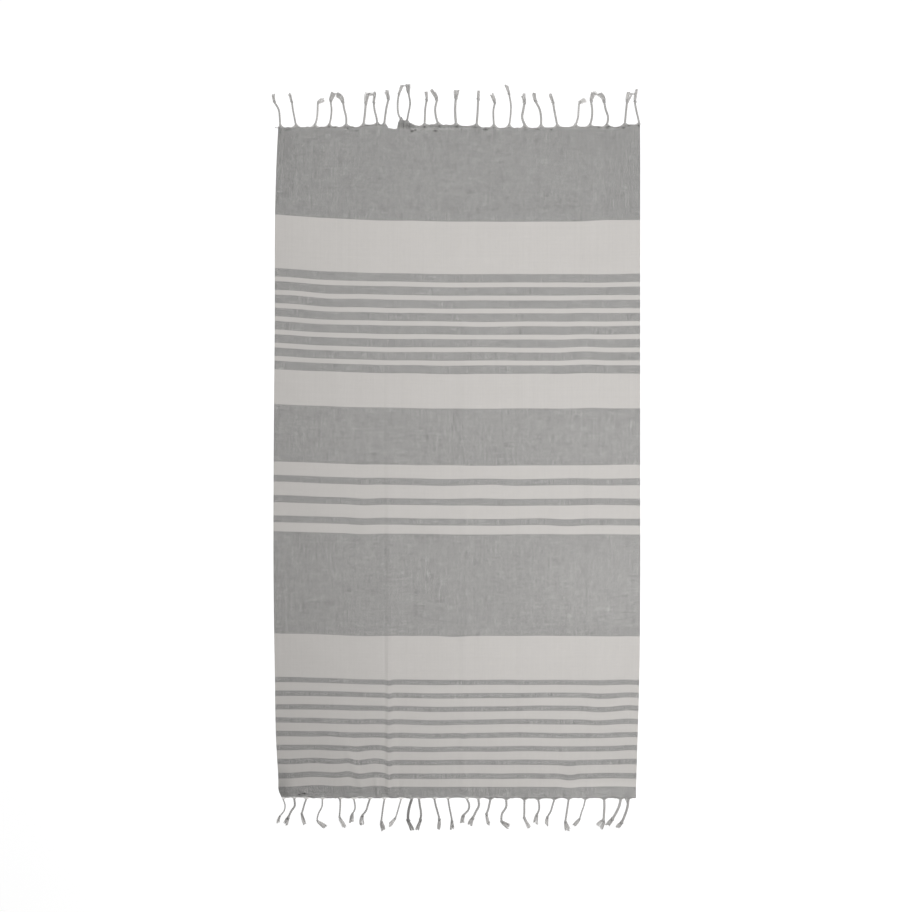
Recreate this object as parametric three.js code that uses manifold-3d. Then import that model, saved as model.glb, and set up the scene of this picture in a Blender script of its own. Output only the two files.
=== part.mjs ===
// A hammam towel laid out flat: one woven cloth, and along both of its cut ends the warp
// threads gathered into tassels, each twisted into a cord, knotted, and left loose as a tuft.
// Millimetres, +Z up. X runs across the cloth, Y along it, and Z = 0 is what it lies on.

import * as THREE from 'three';
import { mergeVertices } from 'three/addons/utils/BufferGeometryUtils.js';
import Module from 'manifold-3d';

const wasm = await Module();
wasm.setup();

// ---- Driving dimensions ----

const LENGTH = 1830; // the woven cloth from end to end, without its fringe
const HALF_LENGTH = LENGTH / 2;
const CLOTH_THICK = 1.2;
const CLOTH_COLUMNS = 34;
const CLOTH_ROWS = 38;
const END_BAND = 4; // how far the fringe's root strip reaches back from the cloth's end
const END_GAP = 0.3;
const FLAT_END = 45; // creases die away over this much before the root strips

const ROOT_STRIP_THICK = 2;
const ROOT_FAN = 11; // half the width over which a tassel gathers its threads, at most
const FAN_SHARE = 0.4; // and no more than this of the way to the next one
const ROOT_DIP = 1; // how far the strip reaches past the cloth's end between two tassels
const ROOT_OVERLAP = 3; // how deep a cord starts inside the strip
const CORD_THICK = 3.6;
const KNOT_WIDE = 1.8; // in thicknesses of the cord
const KNOT_HIGH = 1.5;
const TUFT_TURN = 0.45; // how much of its way sideways a tuft has gone at its middle
const CORD_PULL = 0.15; // and how much its cord's own slant carries it on

const COLOURS = { cloth: '#a9a7a3', fringe: '#b3afa9' };

// The two selvedges, as distances from the centre line. `down` is measured from the far end.
const SELVEDGES = [
  { down: 0, left: 487, right: 497 },
  { down: 60, left: 491, right: 499 },
  { down: 180, left: 496, right: 499 },
  { down: 560, left: 498, right: 499 },
  { down: 950, left: 501, right: 499 },
  { down: 1260, left: 501, right: 499 },
  { down: 1500, left: 496, right: 496 },
  { down: 1680, left: 493, right: 491 },
  { down: 1780, left: 486, right: 489 },
  { down: 1830, left: 477, right: 488 },
];

// Low ridges left by folding, from one point of the cloth to another: `half` wide to each side
// of that line, and `high` above the surface at it.
const CREASES = [
  { x1: -187, y1: 250, x2: -186, y2: -900, half: 34, high: 3 }, // long fold left of the middle
  { x1: 18, y1: 900, x2: 20, y2: -900, half: 32, high: 1.6 }, // long fold at the middle
  { x1: 175, y1: 900, x2: 176, y2: -900, half: 30, high: 1.4 }, // long fold right of the middle
  { x1: 359, y1: 900, x2: 360, y2: -900, half: 30, high: 1.6 }, // long fold by the right selvedge
  { x1: 447, y1: -512, x2: 411, y2: -594, half: 34, high: 3 }, // slanting crease, near right
  { x1: 411, y1: -594, x2: 365, y2: -704, half: 34, high: 3 }, // the same crease, further down
  { x1: -354, y1: 875, x2: -384, y2: 752, half: 34, high: 3 }, // slanting crease, far left
  { x1: -302, y1: -786, x2: -264, y2: -881, half: 32, high: 3 }, // short fold, near left
];

// One row a tassel. `at` is its root along the cloth's end. `low` and `high` are how far its cord
// has moved sideways a third and two thirds of the way out, `knot` where the knot ties it off,
// `out` how far out from the root that is. `tip` and `reach` go on from the knot to the tuft's
// end, `wide` is the width of that end. `cord` is there where the cord is thicker than the rest.
const FAR_TASSELS = [
  { at: -482, low: 1, high: -4, knot: -16, out: 63, tip: -4, reach: 24, wide: 9 },
  { at: -438, low: -5, high: -9, knot: -12, out: 63, tip: -6, reach: 23, wide: 8 },
  { at: -386, low: 4, high: 6, knot: 3, out: 51, tip: 20, reach: 22, wide: 10 },
  { at: -347, low: 4, high: 5, knot: 2, out: 64, tip: 7, reach: 22, wide: 11 },
  { at: -302, low: 0, high: -5, knot: -8, out: 58, tip: -13, reach: 24, wide: 10 },
  { at: -253, low: 2, high: 4, knot: 5, out: 59, tip: 6, reach: 27, wide: 11 },
  { at: -216, low: -3, high: -8, knot: -11, out: 61, tip: 4, reach: 33, wide: 10 },
  { at: -196, low: 3, high: 6, knot: 12, out: 71, tip: -7, reach: 22, wide: 10 },
  { at: -152, low: -7, high: -9, knot: -7, out: 84, tip: 8, reach: 25, wide: 7, cord: 4.2 },
  { at: -135, low: 4, high: 9, knot: 4, out: 89, tip: -1, reach: 21, wide: 12, cord: 4.2 },
  { at: -88, low: 1, high: 2, knot: 6, out: 68, tip: -2, reach: 30, wide: 8 },
  { at: -50, low: -5, high: -6, knot: -3, out: 68, tip: -15, reach: 30, wide: 8 },
  { at: -1, low: -2, high: -3, knot: -2, out: 73, tip: 3, reach: 25, wide: 14 },
  { at: 56, low: 2, high: 3, knot: 4, out: 70, tip: 2, reach: 26, wide: 9 },
  { at: 103, low: -1, high: -1, knot: 3, out: 61, tip: -10, reach: 26, wide: 9 },
  { at: 145, low: 4, high: 4, knot: -1, out: 84, tip: -10, reach: 30, wide: 9 },
  { at: 188, low: -9, high: -5, knot: -2, out: 61, tip: -3, reach: 24, wide: 14 },
  { at: 231, low: 0, high: -5, knot: -16, out: 64, tip: -5, reach: 22, wide: 9 },
  { at: 276, low: -5, high: -9, knot: -12, out: 61, tip: -8, reach: 26, wide: 8 },
  { at: 325, low: 5, high: 8, knot: 4, out: 53, tip: 21, reach: 22, wide: 12 },
  { at: 366, low: 4, high: 4, knot: 0, out: 65, tip: 6, reach: 28, wide: 13 },
  { at: 412, low: 2, high: -4, knot: -9, out: 61, tip: -14, reach: 25, wide: 11 },
  { at: 460, low: 1, high: 3, knot: 4, out: 63, tip: 8, reach: 27, wide: 13 },
  { at: 495, low: -3, high: -8, knot: -10, out: 63, tip: 4, reach: 36, wide: 8 },
];
const NEAR_TASSELS = [
  { at: -474, low: 5, high: 3, knot: -9, out: 46, tip: -4, reach: 21, wide: 8 },
  { at: -443, low: 2, high: -7, knot: -16, out: 50, tip: -9, reach: 20, wide: 10 },
  { at: -410, low: -4, high: -8, knot: -13, out: 40, tip: 8, reach: 32, wide: 8 },
  { at: -366, low: -1, high: -11, knot: -14, out: 59, tip: 23, reach: 20, wide: 13 },
  { at: -318, low: 1, high: 0, knot: -1, out: 49, tip: 12, reach: 29, wide: 9 },
  { at: -279, low: 2, high: 1, knot: -4, out: 40, tip: -2, reach: 27, wide: 11 },
  { at: -237, low: -5, high: -9, knot: -15, out: 45, tip: -5, reach: 28, wide: 10 },
  { at: -196, low: -3, high: -5, knot: -9, out: 60, tip: 4, reach: 27, wide: 11 },
  { at: -151, low: -5, high: -10, knot: -16, out: 52, tip: -15, reach: 23, wide: 9 },
  { at: -124, low: -6, high: -9, knot: -9, out: 57, tip: 12, reach: 28, wide: 10, cord: 4.8 },
  { at: -102, low: 3, high: 6, knot: 4, out: 55, tip: -8, reach: 31, wide: 9, cord: 4.2 },
  { at: -59, low: 4, high: 9, knot: 13, out: 54, tip: 1, reach: 30, wide: 9 },
  { at: -22, low: 3, high: 7, knot: 10, out: 59, tip: 2, reach: 25, wide: 11 },
  { at: 28, low: 7, high: 5, knot: -7, out: 46, tip: -6, reach: 22, wide: 8 },
  { at: 60, low: 2, high: -6, knot: -14, out: 51, tip: -10, reach: 20, wide: 11 },
  { at: 92, low: -3, high: -6, knot: -10, out: 41, tip: 7, reach: 32, wide: 8 },
  { at: 136, low: 0, high: -12, knot: -13, out: 61, tip: 22, reach: 20, wide: 13 },
  { at: 185, low: 0, high: 0, knot: 0, out: 51, tip: 10, reach: 28, wide: 9 },
  { at: 224, low: 2, high: 1, knot: -5, out: 43, tip: -1, reach: 24, wide: 11 },
  { at: 268, low: -5, high: -11, knot: -17, out: 50, tip: -5, reach: 23, wide: 8 },
  { at: 306, low: -3, high: -6, knot: -9, out: 61, tip: 7, reach: 28, wide: 12 },
  { at: 352, low: -4, high: -10, knot: -16, out: 54, tip: -14, reach: 22, wide: 9 },
  { at: 404, low: 1, high: 0, knot: -2, out: 57, tip: -9, reach: 19, wide: 15, cord: 5.4 },
  { at: 449, low: -4, high: -12, knot: -21, out: 54, tip: -17, reach: 18, wide: 11, cord: 5.4 },
  { at: 469, low: 0, high: -6, knot: -16, out: 63, tip: -14, reach: 16, wide: 11, cord: 5.4 },
];

// Sections of a tassel from root to tip. `place` counts the points of its route: 0 the root, 1 low,
// 2 high, 3 the knot, 4 the middle of the tuft, 5 its end. Width is `cords` cord thicknesses plus
// `tufts` widths of the tuft's end, height is `rise` cord thicknesses.
const SECTIONS = [
  { place: 0, cords: 1.5, tufts: 0, rise: 0.8 },
  { place: 0.5, cords: 1, tufts: 0, rise: 0.95 },
  { place: 1, cords: 1, tufts: 0, rise: 0.95 },
  { place: 1.5, cords: 1, tufts: 0, rise: 0.95 },
  { place: 2, cords: 1, tufts: 0, rise: 0.95 },
  { place: 2.5, cords: 1, tufts: 0, rise: 0.95 },
  { place: 2.8, cords: 1, tufts: 0, rise: 1 },
  { place: 2.9, cords: KNOT_WIDE, tufts: 0, rise: KNOT_HIGH },
  { place: 3.15, cords: KNOT_WIDE, tufts: 0, rise: KNOT_HIGH },
  { place: 3.35, cords: 0.9, tufts: 0.15, rise: 1 },
  { place: 4, cords: 0.3, tufts: 0.72, rise: 0.9 },
  { place: 5, cords: 0, tufts: 1, rise: 0.7 },
];
const ROUTE_SPANS = 5;

// The two ends. `side` is the end's direction along Y, and `peak` how far the root strip is drawn
// out to a point at each tassel. In a stretch the cloth's last threads stand out further.
const FAR_STRETCHES = [
  { from: -305, to: -189, dip: 6 },
  { from: -110, to: 122, dip: 5 },
];
const FAR_END = { side: 1, down: 0, peak: 8, tassels: FAR_TASSELS, stretches: FAR_STRETCHES };
const NEAR_END = { side: -1, down: LENGTH, peak: 3.5, tassels: NEAR_TASSELS, stretches: [] };

// At the far end the strip is also missing for a short way, beside a place where two tassels have
// pulled it out to a ragged peak.
const NOTCH = { from: -188, to: -163, left: 1.5 };
const NOTCH_DEPTH = 12;
const PEAK = [
  { x: -162, out: -3 },
  { x: -161, out: 17 },
  { x: -155, out: 25 },
  { x: -133, out: 17 },
  { x: -113, out: 6 },
  { x: -113, out: -3 },
];

// ---- Helpers ----

// How far a selvedge, 'left' or 'right', is from the centre line at a place down the cloth.
function selvedge(side, down) {
  const next = Math.max(SELVEDGES.findIndex((row) => row.down >= down), 1);
  const a = SELVEDGES[next - 1];
  const b = SELVEDGES[next];
  return THREE.MathUtils.mapLinear(down, a.down, b.down, a[side], b[side]);
}

function toSolid(geometry) {
  geometry.deleteAttribute('normal');
  geometry.deleteAttribute('uv');
  const merged = mergeVertices(geometry);
  const mesh = new wasm.Mesh({
    numProp: 3,
    vertProperties: new Float32Array(merged.attributes.position.array),
    triVerts: new Uint32Array(merged.index.array),
  });
  return new wasm.Manifold(mesh);
}

function toGeometry(solid) {
  const { vertProperties, triVerts } = solid.getMesh();
  const geometry = new THREE.BufferGeometry();
  geometry.setAttribute('position', new THREE.BufferAttribute(vertProperties, 3));
  geometry.setIndex(new THREE.BufferAttribute(triVerts, 1));
  geometry.computeVertexNormals();
  return geometry;
}

// Moves every point of a geometry to where `place` sends it.
function reshape(geometry, place) {
  const position = geometry.attributes.position;
  const point = new THREE.Vector3();
  for (let i = 0; i < position.count; i += 1) {
    point.fromBufferAttribute(position, i);
    position.setXYZ(i, ...place(point));
  }
  return geometry;
}

// ---- The cloth ----

// How high a crease lifts the cloth at a point: a soft ridge along its line.
function ridge({ x1, y1, x2, y2, half, high }, x, y) {
  const line = new THREE.Line3(new THREE.Vector3(x1, y1, 0), new THREE.Vector3(x2, y2, 0));
  const point = new THREE.Vector3(x, y, 0);
  const near = line.closestPointToPoint(point, true, new THREE.Vector3());
  const share = Math.min(near.distanceTo(point) / half, 1);
  return high * (1 - share * share) ** 2;
}

function lift(x, y) {
  const fade = THREE.MathUtils.smoothstep(HALF_LENGTH - Math.abs(y), END_BAND, FLAT_END);
  return fade * Math.max(...CREASES.map((crease) => ridge(crease, x, y)));
}

// One sheet from selvedge to selvedge. Its two sides follow the same creases, so it stays thin.
function cloth() {
  const slab = new THREE.BoxGeometry(1, 1, 1, CLOTH_COLUMNS, CLOTH_ROWS, 1);
  const half = HALF_LENGTH - END_BAND - END_GAP;
  return reshape(slab, (point) => {
    const y = point.y * 2 * half;
    const left = -selvedge('left', HALF_LENGTH - y);
    const right = selvedge('right', HALF_LENGTH - y);
    const x = THREE.MathUtils.lerp(left, right, point.x + 0.5);
    return [x, y, lift(x, y) + (point.z + 0.5) * CLOTH_THICK];
  });
}

// ---- The fringe ----

// How far the middle of a tuft lies sideways of its knot: it still follows its cord a little.
function middleOfTuft({ tip, knot, high }) {
  return tip * TUFT_TURN + (knot - high) * CORD_PULL;
}

// One four-sided strand: a cord that runs out from the cloth's end, its knot, and its tuft.
function tassel(row, { side, peak }) {
  const thick = row.cord ?? CORD_THICK;
  const root = HALF_LENGTH + peak;
  const place = (sideways, out) => new THREE.Vector3(row.at + sideways, side * (root + out), 0);
  const route = new THREE.CatmullRomCurve3([
    place(0, -ROOT_OVERLAP),
    place(row.low, row.out / 3),
    place(row.high, (row.out * 2) / 3),
    place(row.knot, row.out),
    place(row.knot + middleOfTuft(row), row.out + row.reach / 2),
    place(row.knot + row.tip, row.out + row.reach),
  ]);
  const strand = new THREE.BoxGeometry(1, 1, 1, 1, SECTIONS.length - 1, 1);
  return reshape(strand, (point) => {
    const section = SECTIONS[Math.round((point.y + 0.5) * (SECTIONS.length - 1))];
    const centre = route.getPoint(section.place / ROUTE_SPANS);
    const ahead = route.getTangent(section.place / ROUTE_SPANS);
    const wide = section.cords * thick + section.tufts * row.wide;
    const x = centre.x + ahead.y * wide * point.x;
    const y = centre.y - ahead.x * wide * point.x;
    return [x, y, (point.z + 0.5) * section.rise * thick];
  });
}

// The outer edge of the root strip: low between the tassels, drawn out to a point at each.
function scallops({ tassels, stretches, peak }, left, right) {
  const dip = (x) => stretches.find(({ from, to }) => x > from && x < to)?.dip ?? ROOT_DIP;
  const edge = [[left, dip(left)]];
  tassels.forEach(({ at }, i) => {
    const before = at - (tassels[i - 1]?.at ?? left - ROOT_FAN / FAN_SHARE);
    const after = (tassels[i + 1]?.at ?? right + ROOT_FAN / FAN_SHARE) - at;
    const start = at - Math.min(before * FAN_SHARE, ROOT_FAN);
    const stop = at + Math.min(after * FAN_SHARE, ROOT_FAN);
    if (start > left) {
      edge.push([start, dip(start)]);
    }
    edge.push([at, peak]);
    if (stop < right) {
      edge.push([stop, dip(stop)]);
    }
  });
  edge.push([right, dip(right)]);
  return edge;
}

// A plate of the strip's thickness, whose outline is given as places across and out past an end.
function stripPlate(outline, side) {
  const corner = ([x, out]) => new THREE.Vector2(x, side * (HALF_LENGTH + out));
  const shape = new THREE.Shape(outline.map(corner));
  const upright = { depth: ROOT_STRIP_THICK, bevelEnabled: false };
  return toSolid(new THREE.ExtrudeGeometry(shape, upright));
}

// The strip that the tassels grow from, lying along one end of the cloth.
function rootStrip(end) {
  const left = -selvedge('left', end.down);
  const right = selvedge('right', end.down);
  const edge = scallops(end, left, right);
  return stripPlate([[left, -END_BAND], ...edge, [right, -END_BAND]], end.side);
}

function withNotchAndPeak(strip, side) {
  const { from, to, left } = NOTCH;
  const inner = left - END_BAND;
  const outer = inner + NOTCH_DEPTH;
  const gap = stripPlate([[from, inner], [from, outer], [to, outer], [to, inner]], side);
  const peak = stripPlate(PEAK.map(({ x, out }) => [x, out]), side);
  return strip.subtract(gap).add(peak);
}

function withTassels(strip, end) {
  return end.tassels.reduce((whole, row) => whole.add(toSolid(tassel(row, end))), strip);
}

// ---- The towel ----

function piece(name, geometry, colour) {
  const material = new THREE.MeshStandardMaterial({ color: colour, roughness: 0.95, metalness: 0 });
  const mesh = new THREE.Mesh(geometry, material);
  mesh.name = name;
  return mesh;
}

const farStrip = withNotchAndPeak(rootStrip(FAR_END), FAR_END.side);
const farFringe = withTassels(farStrip, FAR_END);
const nearFringe = withTassels(rootStrip(NEAR_END), NEAR_END);

const towel = new THREE.Group();
towel.add(piece('cloth', cloth(), COLOURS.cloth));
towel.add(piece('fringe_far', toGeometry(farFringe), COLOURS.fringe));
towel.add(piece('fringe_near', toGeometry(nearFringe), COLOURS.fringe));

// The origin is under the middle of the whole towel, on the surface that it lies on.
const middle = new THREE.Box3().setFromObject(towel).getCenter(new THREE.Vector3());
towel.position.set(-middle.x, -middle.y, 0);
towel.updateMatrixWorld(true);

export default towel;
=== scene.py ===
# %% [markdown]
# # A hammam towel, laid out flat
# A hammam towel is one length of thin, flat-woven cotton. Its warp threads run from end to end and
# are pale, and bands of its weft are grey. Past the last weft thread at each end the warp is
# gathered into bunches, and each bunch is twisted to a cord, knotted and left loose as a tuft.
# This script makes the woven cloth and the two fringes in place around the towel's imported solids.

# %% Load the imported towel
import math
from collections import namedtuple

import bpy
import numpy as np
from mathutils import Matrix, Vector, noise


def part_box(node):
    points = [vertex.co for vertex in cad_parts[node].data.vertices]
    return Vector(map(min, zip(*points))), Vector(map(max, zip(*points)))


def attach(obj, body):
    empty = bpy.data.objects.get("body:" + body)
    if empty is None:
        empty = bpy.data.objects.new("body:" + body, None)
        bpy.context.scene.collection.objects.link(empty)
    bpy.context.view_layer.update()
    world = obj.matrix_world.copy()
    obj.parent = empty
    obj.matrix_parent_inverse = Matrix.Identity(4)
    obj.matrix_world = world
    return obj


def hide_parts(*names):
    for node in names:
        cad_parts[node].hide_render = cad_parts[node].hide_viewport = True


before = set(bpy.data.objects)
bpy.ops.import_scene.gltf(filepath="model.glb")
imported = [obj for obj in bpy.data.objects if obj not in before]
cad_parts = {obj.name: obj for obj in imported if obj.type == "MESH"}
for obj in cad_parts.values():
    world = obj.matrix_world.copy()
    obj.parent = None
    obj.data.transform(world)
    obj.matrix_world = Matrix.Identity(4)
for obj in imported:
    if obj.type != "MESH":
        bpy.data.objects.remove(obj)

scene = bpy.context.scene
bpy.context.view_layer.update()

# %% [markdown]
# Every length below is in millimetres, as a weaver would give it: `across` is measured from the
# towel's centre line to the right, `down` from the far end of the weaving towards the near one.
# Blender's metres come from one function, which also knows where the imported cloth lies.

# %% From the weaver's measures to Blender's
MM = 0.001
CENTRE_TO_SELVEDGE = 499  # at the widest place on the right
END_STRIP = 4.3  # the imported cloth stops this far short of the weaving's end
LENGTH = 1830

_, cloth_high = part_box("cloth")
CENTRE_X = cloth_high[0] - CENTRE_TO_SELVEDGE * MM
FAR_Y = cloth_high[1] + END_STRIP * MM


def in_place(across, down, height):
    """Places on the towel, in millimetres, as an array of points in metres."""
    across, down, height = np.broadcast_arrays(across, down, height)
    return np.stack([CENTRE_X + across * MM, FAR_Y - down * MM, height * MM], axis=-1)


print("centre line at x =", round(CENTRE_X, 5), "and far end at y =", round(FAR_Y, 5))

# %% [markdown]
# The towel is seen square on, from straight above and from far enough off that the cords at its
# ends stay upright in the view. A long lens does that: 85 mm on a 36 mm sensor, about six metres up.

# %% Camera
PICTURE_SIDE = 912
MM_PER_PIXEL = 2.732
AIM = (0.0010, 0.0043)  # in metres
LENS = 85
SENSOR = 36
SIGHT = 100  # how far the camera sees, in metres

camera_data = bpy.data.cameras.new("camera")
camera_data.lens = LENS
camera_data.sensor_width = SENSOR
camera_data.clip_end = SIGHT
camera = bpy.data.objects.new("camera", camera_data)
camera.location = (*AIM, LENS / SENSOR * PICTURE_SIDE * MM_PER_PIXEL * MM)
scene.collection.objects.link(camera)
scene.camera = camera
scene.view_settings.view_transform = "Standard"
print("camera height", round(camera.location.z, 3), "m")

# %% [markdown]
# Materials, lights and Geometry Nodes are all trees of nodes. Set out node by node, a short formula
# fills a page. So a node's result is wrapped in a small class that says what + and * mean for it:
# each adds a Math node to the tree, and the formula can be written as one.

# %% Results that can be added up
class Result:
    """What a node puts out. Sums written with it add Math nodes to its tree."""

    def __init__(self, socket):
        self.socket = socket

    def __add__(self, other):
        return reckon("ADD", self, other)

    def __sub__(self, other):
        return reckon("SUBTRACT", self, other)

    def __rsub__(self, other):
        return reckon("SUBTRACT", other, self)

    def __mul__(self, other):
        return reckon("MULTIPLY", self, other)

    def __truediv__(self, other):
        return reckon("DIVIDE", self, other)

    def __pow__(self, other):
        return reckon("POWER", self, other)


class Outputs:
    """A node's results, taken by name or number."""

    def __init__(self, node):
        self.node = node

    def __getitem__(self, key):
        return Result(self.node.outputs[key])


def feed(node, inputs):
    """Gives a node its inputs, by name or number: plain values, or other nodes' results."""
    for key, value in inputs.items():
        if isinstance(value, Result):
            node.id_data.links.new(value.socket, node.inputs[key])
        else:
            node.inputs[key].default_value = value


def add(tree, kind, inputs=None, **settings):
    """Adds a node with its settings and inputs."""
    node = tree.nodes.new(kind)
    for key, value in settings.items():
        setattr(node, key, value)
    feed(node, inputs or {})
    return Outputs(node)


def tree_of(*terms):
    """The tree that these results belong to."""
    return next(term.socket.id_data for term in terms if isinstance(term, Result))


def reckon(operation, *terms, clamp=False):
    """One step of a sum, by Blender's name for it."""
    inputs = dict(enumerate(terms))
    return add(tree_of(*terms), "ShaderNodeMath", inputs, operation=operation, use_clamp=clamp)[0]


print("sums in node trees can be written as formulas")

# %% [markdown]
# Four more kinds of step come up again and again: a sum with vectors, which colours are too, a
# vector made longer or a colour made lighter, a mix of two colours, and soft noise. Each gets a
# function that is called by what it does.

# %% Steps with vectors, colours and noise
WHITE = (1, 1, 1, 1)


def vector(operation, *terms, output=0):
    """One step of a sum with vectors or colours."""
    inputs = dict(enumerate(terms))
    return add(tree_of(*terms), "ShaderNodeVectorMath", inputs, operation=operation)[output]


def scaled(value, factor):
    """A vector or a colour, times a number."""
    inputs = {0: value, "Scale": factor}
    return add(tree_of(value, factor), "ShaderNodeVectorMath", inputs, operation="SCALE")[0]


def blend(share, first, second):
    """The first colour where share is 0, the second where it is 1.

    The node has inputs for every kind of value. Its colours are 6 and 7, and come out as 2.
    """
    inputs = {0: share, 6: first, 7: second}
    return add(tree_of(share), "ShaderNodeMix", inputs, data_type="RGBA")[2]


def soft_noise(place, scale, detail):
    """Smooth noise about 0.5, as `Fac` or as `Color`."""
    inputs = {"Vector": place, "Scale": scale, "Detail": detail}
    return add(tree_of(place), "ShaderNodeTexNoise", inputs)


print("white is", WHITE)

# %% [markdown]
# An effect that is wanted in several places is made once, as a group with named inputs, and
# placed in each tree with that place's own values. Its outputs are named last, when there is
# something to put out. A material is a tree too, and starts with one shader.

# %% Node groups and materials
SOCKETS = {float: "NodeSocketFloat", int: "NodeSocketInt", tuple: "NodeSocketVector"}


def new_group(name, kind, inputs):
    """A node group. Each of its named inputs is given by its usual value, or by its kind."""
    group = bpy.data.node_groups.new(name, kind)
    for label, value in inputs.items():
        socket_type = SOCKETS.get(type(value), value)
        item = group.interface.new_socket(label, in_out="INPUT", socket_type=socket_type)
        if type(value) in SOCKETS:
            item.default_value = value
    return group, add(group, "NodeGroupInput")


def finish_group(group, outputs):
    """Gives a node group its named outputs."""
    for label, value in outputs.items():
        socket_type = value.socket.bl_idname
        group.interface.new_socket(label, in_out="OUTPUT", socket_type=socket_type)
    add(group, "NodeGroupOutput", outputs)
    print("made the node group:", group.name)


def new_material(name, roughness):
    """A material, its tree and its shader."""
    material = bpy.data.materials.new(name)
    material.use_nodes = True
    tree = material.node_tree
    shader = tree.nodes["Principled BSDF"]
    feed(shader, {"Roughness": roughness})
    return material, tree, shader


print("a group's inputs can be", *(kind.__name__ for kind in SOCKETS))

# %% [markdown]
# Flat cloth looks flat unless light crosses it. The main soft panel stands on the right, so folds
# and cords are shaded on their left. A wide one hangs over the far end and a weak one over the
# middle of the near half, which leaves the near left corner the darkest. The world adds only a
# little light, so those shades aren't filled in. The camera doesn't see the panels. Past the
# floor, in a low view, it sees the studio's pale wall, which lights nothing.

# %% Lights
WORLD_LIGHT = 0.1
WALL_LIGHT = 0.95


def soft_panel(name, place, aim, side, watts):
    """A square panel of light that faces a point on the towel."""
    data = bpy.data.lights.new(name, "AREA")
    data.shape = "SQUARE"
    data.size = side
    data.energy = watts
    panel = bpy.data.objects.new(name, data)
    panel.location = place
    panel.rotation_euler = (Vector(aim) - Vector(place)).to_track_quat("-Z", "Y").to_euler()
    panel.visible_camera = False
    scene.collection.objects.link(panel)


soft_panel("light_right", place=(1.7, -0.16, 2.18), aim=(0.15, 0, 0), side=1.6, watts=34)
soft_panel("light_near", place=(0.31, -0.81, 1.16), aim=(0.15, 0, 0), side=1.2, watts=8.4)
soft_panel("light_far", place=(0.01, 0.79, 1.16), aim=(0.15, 0, 0), side=2.2, watts=19.4)

world = bpy.data.worlds.new("studio")
world.use_nodes = True
sky = world.node_tree
fill = sky.nodes["Background"]
feed(fill, {"Color": WHITE, "Strength": WORLD_LIGHT})
wall = add(sky, "ShaderNodeBackground", {"Color": WHITE, "Strength": WALL_LIGHT})[0]
seen = add(sky, "ShaderNodeLightPath")["Is Camera Ray"]
either = add(sky, "ShaderNodeMixShader", {0: seen, 1: Outputs(fill)[0], 2: wall})[0]
feed(sky.nodes["World Output"], {"Surface": either})
scene.world = world

# %% [markdown]
# The floor is a plain white light table, as used for cut-out pictures: most of its white is its
# own glow, so the shadows of the thin cords stay faint on it, and it doesn't burn them away. A
# slow mottle in its colour keeps it from being flat.

# %% Floor
FLOOR_SIDE = 16
FLOOR_DROP = 0.0002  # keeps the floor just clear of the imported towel's underside
FLOOR_GLOW = 0.91
FLOOR_DARK = (0.17, 0.17, 0.17, 1)
FLOOR_LIGHT = (0.21, 0.21, 0.21, 1)

floor_mesh = bpy.data.meshes.new("floor")
corner = FLOOR_SIDE / 2
floor_corners = [(-corner, -corner, 0), (corner, -corner, 0), (corner, corner, 0), (-corner, corner, 0)]
floor_mesh.from_pydata(floor_corners, [], [(0, 1, 2, 3)])
floor = bpy.data.objects.new("floor", floor_mesh)
floor.location.z = -FLOOR_DROP
scene.collection.objects.link(floor)

floor_paint, floor_tree, floor_shader = new_material("studio_floor", roughness=0.8)
floor_place = add(floor_tree, "ShaderNodeTexCoord")["Object"]
floor_mottle = soft_noise(floor_place, scale=1.5, detail=2)["Fac"]
floor_colour = blend(floor_mottle, FLOOR_DARK, FLOOR_LIGHT)
feed(floor_shader, {"Base Color": floor_colour})
feed(floor_shader, {"Emission Color": WHITE, "Emission Strength": FLOOR_GLOW})
floor_mesh.materials.append(floor_paint)
print("floor", FLOOR_SIDE, "m square")

# %% [markdown]
# The two selvedges aren't ruled lines: the weaver pulls some wefts tighter than others, and the
# cloth draws in at its near end. A short table of places is enough, with a smooth curve through
# it, because nothing along a selvedge turns sharply.

# %% Selvedges
Selvedge = namedtuple("Selvedge", "down left right")
SELVEDGES = [
    Selvedge(0, 488.5, 500),
    Selvedge(60, 491.5, 500.5),
    Selvedge(180, 495.5, 500.5),
    Selvedge(560, 498, 500.5),
    Selvedge(950, 501, 500.5),
    Selvedge(1260, 501, 500.5),
    Selvedge(1500, 497.5, 498),
    Selvedge(1680, 494, 493),
    Selvedge(1780, 488, 490),
    Selvedge(1812, 486.5, 489),
    Selvedge(LENGTH, 479, 489),
]


def smooth_between(t, start, leave, stop, arrive):
    """Goes from start to stop as t goes from 0 to 1, with the slopes that it leaves and arrives at."""
    leaving = (2 * t**3 - 3 * t**2 + 1) * start + (t**3 - 2 * t**2 + t) * leave
    return leaving + (3 * t**2 - 2 * t**3) * stop + (t**3 - t**2) * arrive


def through(places, heights, at):
    """A smooth curve through a table: its value at each of the given places."""
    places = np.asarray(places, float)
    heights = np.asarray(heights, float)
    slopes = np.gradient(heights, places)
    at = np.clip(at, places[0], places[-1])
    i = np.clip(np.searchsorted(places, at) - 1, 0, len(places) - 2)
    gap = places[i + 1] - places[i]
    t = (at - places[i]) / gap
    return smooth_between(t, heights[i], gap * slopes[i], heights[i + 1], gap * slopes[i + 1])


def column(rows, name, at):
    """One column of a table of places down the cloth, as a smooth curve."""
    return through([row.down for row in rows], [getattr(row, name) for row in rows], at)


def selvedge(side, down):
    return column(SELVEDGES, side, down)


print("width half way down:", round(float(selvedge("left", 915) + selvedge("right", 915))), "mm")

# %% [markdown]
# A weft thread doesn't lie straight across either. Towards both selvedges the wefts are drawn up
# the cloth, most of all on the left near the far end, so every stripe bows. Smaller pulls and
# ripples add to that. The cloth is also stretched a little towards its near end, where the
# stripes stand further apart. All these are moves of the cloth, not of its pattern, so they are
# worked out as moves: how far up the cloth each place of the loom's cloth has come to lie.

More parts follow.
